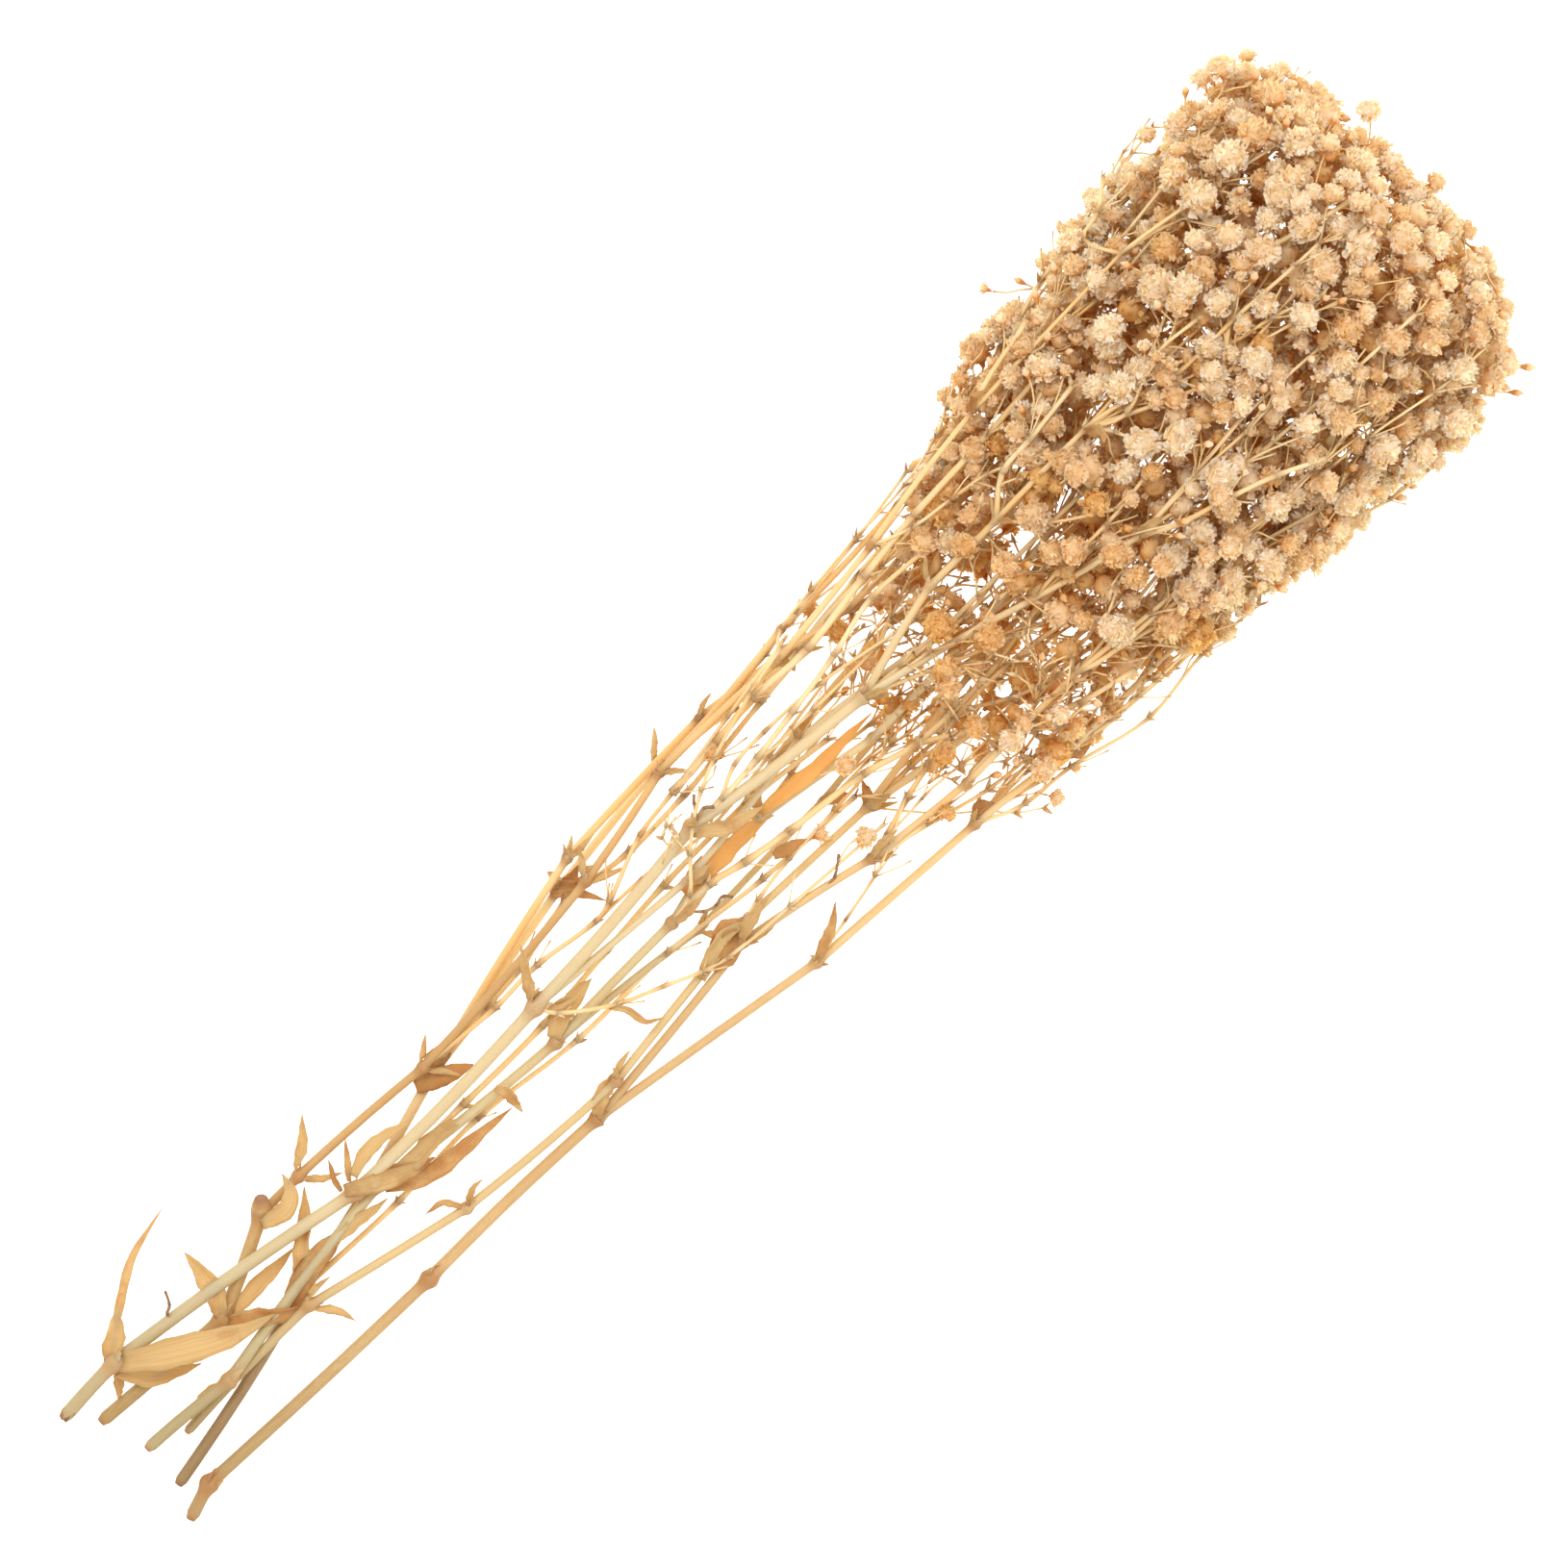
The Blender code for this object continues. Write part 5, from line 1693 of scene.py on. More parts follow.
def framed(columns: tuple[Array, Array, Array], place: Array) -> Matrix:
    """Matrix that moves a form.

    Args:
        columns: Where its X, Y and Z go.
        place: Where its origin goes.

    Returns:
        The matrix.
    """
    matrix = np.eye(4)
    matrix[:3, :3] = np.column_stack(columns)
    matrix[:3, 3] = place
    return Matrix(matrix.tolist())


def stance(place: Array, axis: Array, turn: float, scale: Array) -> Matrix:
    """Matrix that stands a form, modelled up its own Z, in the bunch.

    Args:
        place: Plan position of the form's origin.
        axis: Direction of its Z.
        turn: How far it is turned round that.
        scale: Its size along its own axes, in millimetres.

    Returns:
        The matrix, in metres.
    """
    first = spoke_of(axis, turn)
    ways = np.column_stack((first, np.cross(axis, first), axis)) * np.asarray(scale) * MM
    return framed(tuple(ways.T), placed(place))


@dataclass(frozen=True)
class PetalForm:
    """A petal of length 1 along Y from its claw, facing up Z, with a toothed crumpled tip."""

    width: float = 0.46
    waist: float = 0.7
    tooth: float = 0.09
    shoulder: float = 0.16
    ruffle: float = 0.08
    cup: float = 0.05
    curl: float = 0.0
    # reach at the foot: the darker foot is partly the petal's own ochre claw and partly painted shade
    # where petals crowd
    shade: float = 0.2
    edge: float = 0.4
    inner: float = 0.12
    foot_row: float = 0.25
    tip_row: float = 0.75
    tip: float = 0.9
    crest: float = 0.95
    curl_pull: float = 0.3

    def model(self, name: str) -> Mesh:
        """Shape a small grid into the petal.

        Args:
            name: Name of the form.

        Returns:
            Its mesh, with each vertex's way from claw to tip noted as reach.
        """
        deselect_all()
        bpy.ops.mesh.primitive_grid_add(x_subdivisions=4, y_subdivisions=2, size=1)
        edge, inner = self.width * self.edge, self.width * self.inner
        with Bench() as bench:
            bench.pick_all()
            bench.move(0, 0.5, 0)
            bench.scale(self.width, 1, 1)
            bench.pick(lambda co: co.y < self.foot_row)
            bpy.ops.mesh.merge(type="CENTER")
            bench.pick(lambda co: self.foot_row < co.y < self.tip_row)
            bench.scale(self.waist, 1, 1)
            bench.pick(lambda co: co.y > self.foot_row and abs(co.x) > edge * self.waist)
            bench.move(0, 0, self.cup)
            bench.pick(lambda co: co.y > self.tip and abs(co.x) > edge)
            bench.move(0, -self.shoulder, -self.ruffle)
            bench.pick(lambda co: co.y > self.tip and abs(co.x) < inner)
            bench.move(0, -self.tooth, -self.ruffle)
            bench.pick(lambda co: co.y > self.crest and abs(co.x) > inner)
            bench.move(0, self.tooth / 2, self.ruffle)
            bench.pick(lambda co: co.y > self.tip_row)
            bench.move(0, -abs(self.curl) * self.curl_pull, self.curl)
        form = kept_form(name)
        # reach paints the foot darker than the tip: partly the ochre claw, partly painted shade at the
        # flower's foot
        way = np.clip(corners_of(form)[:, 1], 0, 1)
        note(form, "reach", self.shade + (1 - self.shade) * way)
        return form


@dataclass
class BloomStock:
    """Blooms of radius 1, modelled once in several variants and copied to every stalk."""

    rng: Draws
    variants: dict[BloomKind, int] = field(default_factory=lambda: {
        BloomKind.FULL: 16, BloomKind.SMALL: 12, BloomKind.TUCKED: 6, BloomKind.HALF_OPEN: 6,
        BloomKind.BUD: 5})
    petals: dict[BloomKind, tuple[tuple[int, float], ...]] = field(default_factory=lambda: {
        BloomKind.FULL: ((8, 128.0), (9, 102.0)), BloomKind.SMALL: ((7, 122.0), (7, 94.0)),
        BloomKind.TUCKED: ((6, 108.0),), BloomKind.HALF_OPEN: ((6, 60.0), (4, 36.0)),
        BloomKind.BUD: ((4, 9.0),)})
    ruffles: dict[BloomKind, int] = field(default_factory=lambda: {
        BloomKind.FULL: 36, BloomKind.SMALL: 25, BloomKind.TUCKED: 13, BloomKind.HALF_OPEN: 6,
        BloomKind.BUD: 0})
    dome: float = 98.0
    half_dome: float = 34.0
    ruffle_foot: float = 0.5
    ruffle_turn: float = 2.4
    foot: float = -0.42
    foot_radius: float = 0.1
    squat: float = 0.82
    lean_scatter: float = 7.0
    core_radius: float = 0.7
    core_crumple: float = 0.16
    half_core: float = 0.45
    bud_radius: float = 0.6
    bud_calyx: float = 1.75
    calyx_depth: float = 0.55
    calyx_rim: float = 0.3
    calyx_neck: float = 0.1
    calyx_lift: float = 0.1
    teeth: int = 5
    tooth: float = 0.22
    crumple_scale: float = 0.16
    crumple_depth: float = 0.2
    crumple_growth: float = 1.1
    petal_form: PetalForm = PetalForm()
    ruffle_form: PetalForm = PetalForm(tooth=0.16, shoulder=0.2, ruffle=0.12, shade=0.5)
    curls: Values = (-0.22, -0.08, 0.08, 0.2)
    petal_widths: Span = (0.85, 1.15)
    reaches: Span = (0.88, 1.06)
    petal_twist: float = 0.3
    ruffle_twist: float = 1.0
    turn_scatter: float = 0.25
    bud_height: float = 1.45
    bud_shoulder: float = 0.6
    bud_tip: Place = (0.6, 0.6, 1.08)
    rings: int = 6
    # painted shade: the middle is painted darker at its foot than at its top
    core_shades: Span = (0.32, 0.4)
    seeds: int = 1000
    forms: dict[BloomKind, list[Mesh]] = field(default_factory=dict)

    def model(self) -> None:
        """Model the petals, then every variant of every kind from copies of them."""
        petals = [replace(form, curl=curl).model(f"{name}_{k}")
                  for name, form in (("petal", self.petal_form), ("ruffle", self.ruffle_form))
                  for k, curl in enumerate(self.curls)]
        calyx = self.model_calyx()
        for kind, count in self.variants.items():
            self.forms[kind] = [self.model_bloom(kind, petals, calyx) for _ in range(count)]

    def model_calyx(self) -> Mesh:
        """A small cup with five teeth, from its neck up to its rim.

        Returns:
            Its mesh.
        """
        deselect_all()
        bpy.ops.mesh.primitive_cone_add(
            vertices=2 * self.teeth, radius1=self.calyx_neck, radius2=self.calyx_rim,
            depth=self.calyx_depth, end_fill_type="NOTHING")
        with Bench() as bench:
            bench.pick_all()
            bench.move(0, 0, self.foot - self.calyx_depth / 2 + self.calyx_lift)
            bench.pick(lambda co: co.z > self.foot and abs(
                (math.atan2(co.x, co.y) * self.teeth / FULL_TURN + 0.5) % 1 - 0.5) < 1 / 4)
            bench.move(0, 0, self.tooth)
        form = kept_form("calyx")
        note(form, "reach", 0.0)
        return form

    def model_core(self, kind: BloomKind) -> Item:
        """The closed middle of a bloom, or the whole ball of a bud.

        Args:
            kind: How far the flower has opened.

        Returns:
            The middle as the active object.
        """
        deselect_all()
        bud = kind is BloomKind.BUD
        half = kind is BloomKind.HALF_OPEN
        radius = self.bud_radius if bud else self.half_core if half else self.core_radius
        rings = self.rings + 2 * (kind is BloomKind.FULL)
        bpy.ops.mesh.primitive_uv_sphere_add(segments=rings + 2, ring_count=rings, radius=radius)
        with Bench() as bench:
            bench.pick_all()
            bench.scale(1, 1, self.bud_height if bud else self.squat)
            bench.pick(lambda co: bud and co.z > radius * self.bud_shoulder)
            bench.scale(*self.bud_tip)
            bench.pick(lambda co: not bud)
            bpy.ops.transform.vertex_random(offset=self.core_crumple,
                                            seed=int(self.rng.integers(self.seeds)))
        item = bpy.context.active_object
        places = corners_of(item.data)
        # Painted shade: the middle is darker at its foot and lighter at its top.
        least, rise = self.core_shades
        note(item.data, "reach", least + rise * np.clip(places[:, 2] + 0.5, 0, 1))
        return item

    def model_bloom(self, kind: BloomKind, petals: list[Mesh],
                    calyx: Mesh) -> Mesh:
        """Model one variant.

        Args:
            kind: How far it has opened.
            petals: The petal forms, and after them as many ruffle forms.
            calyx: The calyx form.

        Returns:
            Its mesh, of radius 1 about the origin with its stalk down -Z.
        """
        girth = self.bud_calyx if kind is BloomKind.BUD else 1.0
        items = [self.model_core(kind), copied(calyx, Matrix.Diagonal((girth, girth, girth, 1)))]
        half = len(petals) // 2
        for count, lean in self.petals[kind]:
            offset = self.rng.uniform(0, FULL_TURN)
            for k in range(count):
                off = self.rng.uniform(-self.turn_scatter, self.turn_scatter)
                turn = offset + FULL_TURN * (k + off) / count
                items.append(copied(petals[self.rng.integers(half)],
                                    self.petal_place(lean, turn, False)))
        dome = self.half_dome if kind is BloomKind.HALF_OPEN else self.dome
        cap = 1 - math.cos(math.radians(dome))
        for k in range(self.ruffles[kind]):
            lean = math.degrees(math.acos(1 - cap * (k + 0.5) / self.ruffles[kind]))
            items.append(copied(petals[half + self.rng.integers(half)],
                                self.petal_place(lean, self.ruffle_turn * k, True)))
        whole = joined(f"bloom_{kind.value}", items)
        crumple = bpy.data.textures.new("crumple", "CLOUDS")
        crumple.noise_scale = self.crumple_scale
        for axis in "XYZ":
            push = whole.modifiers.new("crumple", "DISPLACE")
            push.texture = crumple
            push.direction = axis
            push.strength = self.crumple_depth
            push.mid_level = 0.5
            crumple.noise_scale *= self.crumple_growth
            bpy.ops.object.modifier_apply(modifier=push.name)
        bpy.data.textures.remove(crumple)
        return kept_form(f"bloom_{kind.value}")

    def petal_place(self, lean: float, turn: float, ruffle: bool) -> Matrix:
        """Matrix of a petal on the bloom's foot, or of a ruffle on its crumpled middle.

        Args:
            lean: Angle of its tip from the axis, in degrees.
            turn: Its angle round the axis, in radians.
            ruffle: Whether it is a ruffle.

        Returns:
            The matrix for the petal form.
        """
        angle = math.radians(lean + self.rng.normal(0, self.lean_scatter))
        reach = self.rng.uniform(*self.reaches)
        tip = np.array((math.sin(angle), 0.0, self.squat * math.cos(angle))) * reach
        foot = tip * self.ruffle_foot if ruffle else np.array((self.foot_radius, 0, self.foot))
        run = tip - foot
        length = np.linalg.norm(run)
        way = run / length
        facing = np.array((-way[2], 0.0, way[0]))
        twist = self.rng.normal(0, self.ruffle_twist if ruffle else self.petal_twist)
        side = turned(np.cross(way, facing), facing, twist)
        width = self.rng.uniform(*self.petal_widths)
        place = framed((side * width, way * length, np.cross(side, way)), foot)
        return Matrix.Rotation(turn, 4, "Z") @ place


@dataclass(frozen=True)
class BractForm:
    """A pointed scale leaf of length 1 up Z and width 1 that curls out at its tip."""

    bulge: float = 1.35
    curl: float = 0.5
    curl_from: float = 0.25
    droop: float = 0.1
    flatness: float = 0.4
    thickening: float = 1.2
    heights: Span = (0.35, 0.7)
    near: float = 0.05

    def model(self) -> Mesh:
        """Shape a flattened four-sided cone into the scale leaf.

        Returns:
            Its mesh.
        """
        deselect_all()
        bpy.ops.mesh.primitive_cone_add(
            vertices=4, radius1=0.5, radius2=0.0, depth=1.0, location=(0, 0, 0))
        with Bench() as bench:
            bench.pick_all()
            bench.move(0, 0, 0.5)
            bench.scale(1, self.flatness, 1)
            for height in self.heights:
                bench.pick_all()
                bpy.ops.mesh.bisect(plane_co=(0, 0, height), plane_no=(0, 0, 1))
            low, high = self.heights
            bench.pick(lambda co: abs(co.z - low) < self.near)
            bench.scale(self.bulge, self.thickening, 1)
            bench.pick(lambda co: abs(co.z - high) < self.near)
            bench.scale(self.bulge, 1, 1)
            bench.move(0, self.curl * self.curl_from, 0)
            bench.pick(lambda co: co.z > 1 - self.near)
            bench.move(0, self.curl, -self.droop)
        return kept_form("bract")


@dataclass(frozen=True)
class LeafForm:
    """A dry leaf in shares of its own size: X from foot to tip, Y across, Z its relief."""

    steps: int = 16
    lanes: int = 4
    outline: Values = (0.55, 0.8, 1.0, 0.95, 0.74, 0.42, 0.04)
    fold: float = 0.28
    wave: float = 0.16
    wave_runs: Place = (19, 37, 29)
    lane_lag: float = 2.1
    fine_wave: float = 0.6
    edge_wave: float = 0.06

    def model(self, name: str, rng: Draws) -> Mesh:
        """Shape a long grid into the leaf.

        Args:
            name: Name of the form.
            rng: Source of its waves.

        Returns:
            Its mesh.
        """
        deselect_all()
        bpy.ops.mesh.primitive_grid_add(x_subdivisions=self.steps, y_subdivisions=self.lanes,
                                        size=2)
        form = kept_form(name)
        places = corners_of(form)
        along = (places[:, 0] + 1) / 2
        lane = places[:, 1].copy()
        width = np.interp(along, np.linspace(0, 1, len(self.outline)), self.outline)
        phases = rng.uniform(0, FULL_TURN, 3)
        slow, fast, edges = (along * run + phase for run, phase in zip(self.wave_runs, phases))
        edge = np.sin(slow + self.lane_lag * lane) + self.fine_wave * np.sin(fast)
        relief = self.fold * np.abs(lane) * width + self.wave * edge * lane**2 * width
        places[:, 0] = along
        places[:, 1] = lane * width * (1 + self.edge_wave * np.sin(edges))
        places[:, 2] = relief
        form.vertices.foreach_set("co", places.ravel())
        return form


@dataclass
class LeafStock:
    """Leaf forms, modelled once and bent along the middle line of every leaf."""

    rng: Draws
    count: int = 6
    twist: float = 0.35
    waver_run: float = 7.0
    waver_shift: float = 9.0
    settled_by: float = 0.35
    settle_share: float = 0.85
    most_level: float = 1.6
    folds: Span = (0.15, 0.6)
    waves: Span = (0.1, 0.26)
    stations: int = 33
    smoothings: int = 12
    forms: list[Mesh] = field(default_factory=list)

    def model(self) -> None:
        """Model the forms, some folded closer than others."""
        for k in range(self.count):
            form = LeafForm(fold=self.rng.uniform(*self.folds), wave=self.rng.uniform(*self.waves))
            self.forms.append(form.model(f"leaf_{k}", self.rng))

    def bend(self, blade: Blade) -> Item:
        """Bend a copy of a form along a leaf's middle line.

        Args:
            blade: The leaf of the plan.

        Returns:
            The leaf as an object at the origin.
        """
        item = copied(self.forms[self.rng.integers(len(self.forms))], Matrix.Identity(4),
                      tone=blade.brown)
        shares = corners_of(item.data)
        knots = np.array(blade.line)
        spans = lengths(np.diff(knots, axis=0))
        marks = np.concatenate(([0.0], np.cumsum(spans))) / spans.sum()
        dense = np.linspace(0, 1, self.stations)
        path = along_line(dense, marks, knots)
        for _ in range(self.smoothings):
            path[1:-1] = (path[:-2] + 2 * path[1:-1] + path[2:]) / 4
        tangents = np.gradient(path, axis=0)
        tangents /= lengths(tangents)[:, None]
        sides = np.cross(blade.normal, tangents)
        sides /= lengths(sides)[:, None]
        ups = np.cross(tangents, sides)
        level = np.arctan2(sides[:, 2], ups[:, 2])
        level -= np.pi * np.round(level[len(level) // 2] / np.pi)
        settled = np.clip(dense / self.settled_by, 0, 1)
        waver = np.sin(dense * self.waver_run + blade.width * self.waver_shift)
        waver = self.twist * waver * (1 - min(blade.wrap, 1))
        level = np.clip(level, -self.most_level, self.most_level)
        turns = (self.settle_share * settled * level + waver * settled)[:, None]
        sides, ups = (sides * np.cos(turns) - ups * np.sin(turns),
                      ups * np.cos(turns) + sides * np.sin(turns))
        at = [along_line(shares[:, 0], dense, rows) for rows in (path, sides, ups)]
        half = blade.width / 2
        lane = shares[:, 1:2] * half
        relief = shares[:, 2:3] * half
        if blade.wrap:
            bent = blade.wrap / half
            lane, relief = np.sin(lane * bent) / bent, relief + (np.cos(lane * bent) - 1) / bent
        places = at[0] + at[1] * lane + at[2] * relief
        item.data.vertices.foreach_set("co", placed(places).ravel())
        return item


class NodeSheet:
    """The node tree of one material, with short calls for the nodes that the finishes use."""

    def __init__(self, name: str) -> None:
        """Start an empty tree.

        Args:
            name: Name of the material.
        """
        self.material = bpy.data.materials.new(name)
        self.material.use_nodes = True
        self.tree = self.material.node_tree
        self.tree.nodes.clear()

    def feed(self, socket: Socket, value: object) -> None:
        """Link an input to a socket, or set it.

        Args:
            socket: The input.
            value: A socket or a plain value.
        """
        if isinstance(value, Socket):
            self.tree.links.new(value, socket)
        else:
            socket.default_value = value

    def node(self, kind: str, inputs: dict | None = None, **settings: object) -> bpy.types.Node:
        """Add a node.

        Args:
            kind: Its type, without the words that all types start with.
            inputs: Values or sockets for its inputs, by name or number.
            settings: Its properties.

        Returns:
            The node.
        """
        made = self.tree.nodes.new("ShaderNode" + kind)
        for name, value in settings.items():
            setattr(made, name, value)
        for name, value in (inputs or {}).items():
            self.feed(made.inputs[name], value)
        return made

    def noted(self, name: str, output: str = "Fac") -> Socket:
        """What is noted on the mesh under a name."""
        return self.node("Attribute", attribute_name=name).outputs[output]

    def object_place(self) -> Socket:
        """The place on the piece, in metres."""
        return self.node("TexCoord").outputs["Object"]

    def noise(self, place: Socket, scale: float, detail: float, roughness: float = 0.55) -> Socket:
        """Noise from 0 to 1, as fine as its scale, with octaves of finer noise."""
        inputs = {"Vector": place, "Scale": scale, "Detail": detail, "Roughness": roughness}
        return self.node("TexNoise", inputs).outputs["Fac"]

    def ramp(self, factor: Socket, *stops: tuple) -> Socket:
        """Colour or grey by a factor.

        Args:
            factor: A number from 0 to 1.
            stops: Pairs of position and colour.

        Returns:
            The colour.
        """
        made = self.node("ValToRGB", {"Fac": factor})
        elements = made.color_ramp.elements
        while len(elements) < len(stops):
            elements.new(0.5)
        for element, (position, colour) in zip(elements, stops):
            element.position = position
            element.color = colour if isinstance(colour, tuple) else (colour, colour, colour, 1)
        return made.outputs["Color"]

    def mix(self, factor: Socket | float, first: object, second: object,
            blend: str = "MIX") -> Socket:
        """Mix two colours.

        Args:
            factor: Share of the second.
            first: Socket or colour.
            second: Socket or colour.
            blend: Way of mixing.

        Returns:
            The mixed colour.
        """
        made = self.node("Mix", data_type="RGBA", blend_type=blend)
        sockets = [s for s in made.inputs if s.enabled]
        for socket, value in zip(sockets, (factor, first, second)):
            self.feed(socket, value)
        return next(s for s in made.outputs if s.enabled)

    def sum(self, operation: str, first: object, second: object) -> Socket:
        """Work out a number from two sockets or numbers."""
        return self.node("Math", {0: first, 1: second}, operation=operation).outputs["Value"]

    def bump(self, height: Socket, strength: float, depth: float) -> Socket:
        """Normal from a height from 0 to 1, with its depth in metres."""
        inputs = {"Height": height, "Strength": strength, "Distance": depth}
        return self.node("Bump", inputs).outputs["Normal"]

    def surface(self, colour: Socket, roughness: object, normal: Socket, glow: float,
                glow_colour: Colour) -> Material:
        """Close the tree with a dry surface that lets light through.

        Args:
            colour: Base colour.
            roughness: Roughness.
            normal: Normal.
            glow: Share of light that passes through.
            glow_colour: What that light's colour is multiplied by.

        Returns:
            The material.
        """
        passed = self.mix(1.0, colour, glow_colour, "MULTIPLY")
        inputs = {"Base Color": colour, "Roughness": roughness, "Normal": normal,
                  "Specular IOR Level": SHEEN}
        shader = self.node("BsdfPrincipled", inputs)
        through = self.node("BsdfTranslucent", {"Color": passed, "Normal": normal})
        mixed = self.node("MixShader", {
            "Fac": glow, 1: shader.outputs["BSDF"], 2: through.outputs["BSDF"]})
        self.node("OutputMaterial", {"Surface": mixed.outputs["Shader"]})
        return self.material


@dataclass(frozen=True)
class StemFinish:
    """Dry straw bark: fibres along the stem, browner at joints, golden where it is thin, and deeper by
    a random tone and by painted shade on stalks deep inside the head.
    """

    name: str
    pale: Colour
    deep: Colour
    joint: Colour
    thin: Colour = daylight(248, 236, 196)
    thin_deep: Colour = daylight(241, 205, 134)
    glow: Colour = daylight(255, 243, 202)
    burnt: Colour = daylight(160, 122, 92)
    dull: Colour = daylight(226, 224, 216)
    translucent: float = 0.42
    fibre_scale: float = 3.2
    cloud_scale: float = 38.0
    speck_scale: float = 900.0
    relief: float = 0.00012

    def material(self) -> Material:
        """Build the node tree.

        Returns:
            The material.
        """
        sheet = NodeSheet(self.name)
        fibre = sheet.noise(sheet.noted("grain", "Vector"), self.fibre_scale, 4.0, 0.6)
        place = sheet.object_place()
        cloud = sheet.noise(place, self.cloud_scale, 3.0)
        speck = sheet.noise(place, self.speck_scale, 2.0)
        tone = sheet.noted("tone")
        body = sheet.ramp(fibre, (0.3, self.deep), (0.62, self.pale))
        # A random tone plus painted shade: stalks deep inside the head are painted deeper and more
        # orange.
        tone_and_painted_shade = sheet.ramp(sheet.sum("ADD", sheet.sum("MULTIPLY", tone, 0.5), cloud),
                          (0.45, 0.0), (1.1, 0.9))
        body = sheet.mix(tone_and_painted_shade, body, self.deep)
        golden = sheet.mix(tone_and_painted_shade, self.thin, self.thin_deep)
        body = sheet.mix(sheet.noted("thin"), body, golden)
        along = sheet.node("SeparateXYZ", {0: place}).outputs["X"]
        along = sheet.sum("ADD", sheet.sum("MULTIPLY", along, 3.0), 1.0)
        body = sheet.mix(sheet.ramp(along, (0.24, 1.0), (0.5, 0.0)), body, self.dull, "MULTIPLY")
        joint = sheet.noted("joint")
        near = sheet.sum("MULTIPLY", joint, sheet.sum("ADD", speck, 0.45))
        body = sheet.mix(sheet.ramp(near, (0.12, 0.0), (0.8, 1.0)), body, self.joint)
        body = sheet.mix(sheet.sum("SUBTRACT", joint, 1.0), body, self.burnt)
        rough = sheet.ramp(fibre, (0.2, 0.62), (0.8, 0.44))
        height = sheet.sum("ADD", fibre, sheet.sum("MULTIPLY", speck, 0.3))
        normal = sheet.bump(height, 0.5, self.relief)
        return sheet.surface(body, rough, normal, self.translucent, self.glow)


STEM_FINISHES: tuple[StemFinish, ...] = tuple(
    StemFinish(name, *(daylight(*shade) for shade in shades)) for name, *shades in (
        ("pale_stem", (228, 217, 184), (217, 200, 158), (206, 172, 124)),
        ("golden_stem", (218, 194, 142), (204, 167, 110), (194, 148, 94)),
        ("straw_stem", (222, 212, 175), (210, 192, 146), (199, 163, 113)),
        ("grey_brown_stem", (202, 178, 138), (182, 150, 108), (170, 128, 84)),
        ("thin_golden_stem", (228, 216, 174), (216, 193, 143), (201, 163, 111)),
        ("orange_stem", (220, 197, 149), (206, 174, 122), (191, 147, 95)),
    ))


@dataclass(frozen=True)
class PetalFinish:
    """Papery petals: ochre at the claw, cream at the tip, each flower of its own tone; the darker claw
    is partly painted shade, and flowers deep inside the head get painted shade that browns them.
    """

    name: str = "dried_petals"
    calyx: Colour = daylight(226, 174, 102)
    claw: Colour = daylight(242, 202, 128)
    middle: Colour = daylight(249, 233, 192)
    tip: Colour = daylight(250, 247, 234)
    tan: Colour = daylight(242, 207, 137)
    glow: Colour = daylight(253, 227, 156)
    roughness: float = 0.85
    translucent: float = 0.5
    crumple_scale: float = 1500.0
    cloud_scale: float = 60.0
    relief: float = 0.0002

    def material(self) -> Material:
        """Build the node tree.

        Returns:
            The material.
        """
        sheet = NodeSheet(self.name)
        place = sheet.object_place()
        crumple = sheet.noise(place, self.crumple_scale, 2.0)
        cloud = sheet.noise(place, self.cloud_scale, 2.0)
        uneven = sheet.sum("MULTIPLY", sheet.sum("SUBTRACT", crumple, 0.5), 0.35)
        # By reach: darker at each petal's foot, partly the ochre claw and partly painted shade where
        # petals crowd.
        body = sheet.ramp(sheet.sum("ADD", sheet.noted("reach"), uneven), (0.0, self.calyx),
                          (0.22, self.claw), (0.58, self.middle), (0.92, self.tip))
        # Each flower's random tone plus painted shade, deep inside the head, in the neck and at the
        # head's foot, multiplies in tan.
        toned = sheet.sum("ADD", sheet.noted("tone"), sheet.sum("MULTIPLY", cloud, 0.5))
        flower_tone_and_painted_shade = sheet.ramp(toned, (0.5, 0.0), (1.25, 0.9))
        body = sheet.mix(flower_tone_and_painted_shade, body, self.tan, "MULTIPLY")
        normal = sheet.bump(crumple, 0.5, self.relief)
        return sheet.surface(body, self.roughness, normal, self.translucent, self.glow)


@dataclass(frozen=True)
class LeafFinish:
    """Thin dry leaf: veins along it, brown blotches, light shining through."""

    name: str = "dry_leaf"
    pale: Colour = daylight(222, 200, 146)
    deep: Colour = daylight(210, 178, 114)
    brown: Colour = daylight(200, 154, 92)
    amber: Colour = daylight(240, 198, 116)
    glow: Colour = daylight(255, 232, 160)
    roughness: float = 0.6
    translucent: float = 0.5
    vein_stretch: Place = (1.2, 34.0, 1.0)
    blotch_scale: float = 110.0
    relief: float = 0.00015

    def material(self) -> Material:
        """Build the node tree.

        Returns:
            The material.
        """
        sheet = NodeSheet(self.name)
        uv = sheet.node("TexCoord").outputs["UV"]
        stretched = sheet.node("Mapping", {"Vector": uv, "Scale": self.vein_stretch})
        veins = sheet.noise(stretched.outputs["Vector"], 1.0, 2.0)
        blotch = sheet.noise(sheet.object_place(), self.blotch_scale, 4.0, 0.65)
        tone = sheet.noted("tone")
        body = sheet.ramp(veins, (0.35, self.deep), (0.6, self.pale))
        dried = sheet.sum("ADD", blotch, sheet.sum("MULTIPLY", tone, 0.6))
        body = sheet.mix(sheet.ramp(dried, (0.72, 0.0), (1.25, 1.0)), body, self.brown)
        golden = sheet.node("Clamp", {0: sheet.sum("SUBTRACT", tone, 1.0)}).outputs[0]
        body = sheet.mix(golden, body, self.amber)
        normal = sheet.bump(veins, 0.6, self.relief)
        return sheet.surface(body, self.roughness, normal, self.translucent, self.glow)


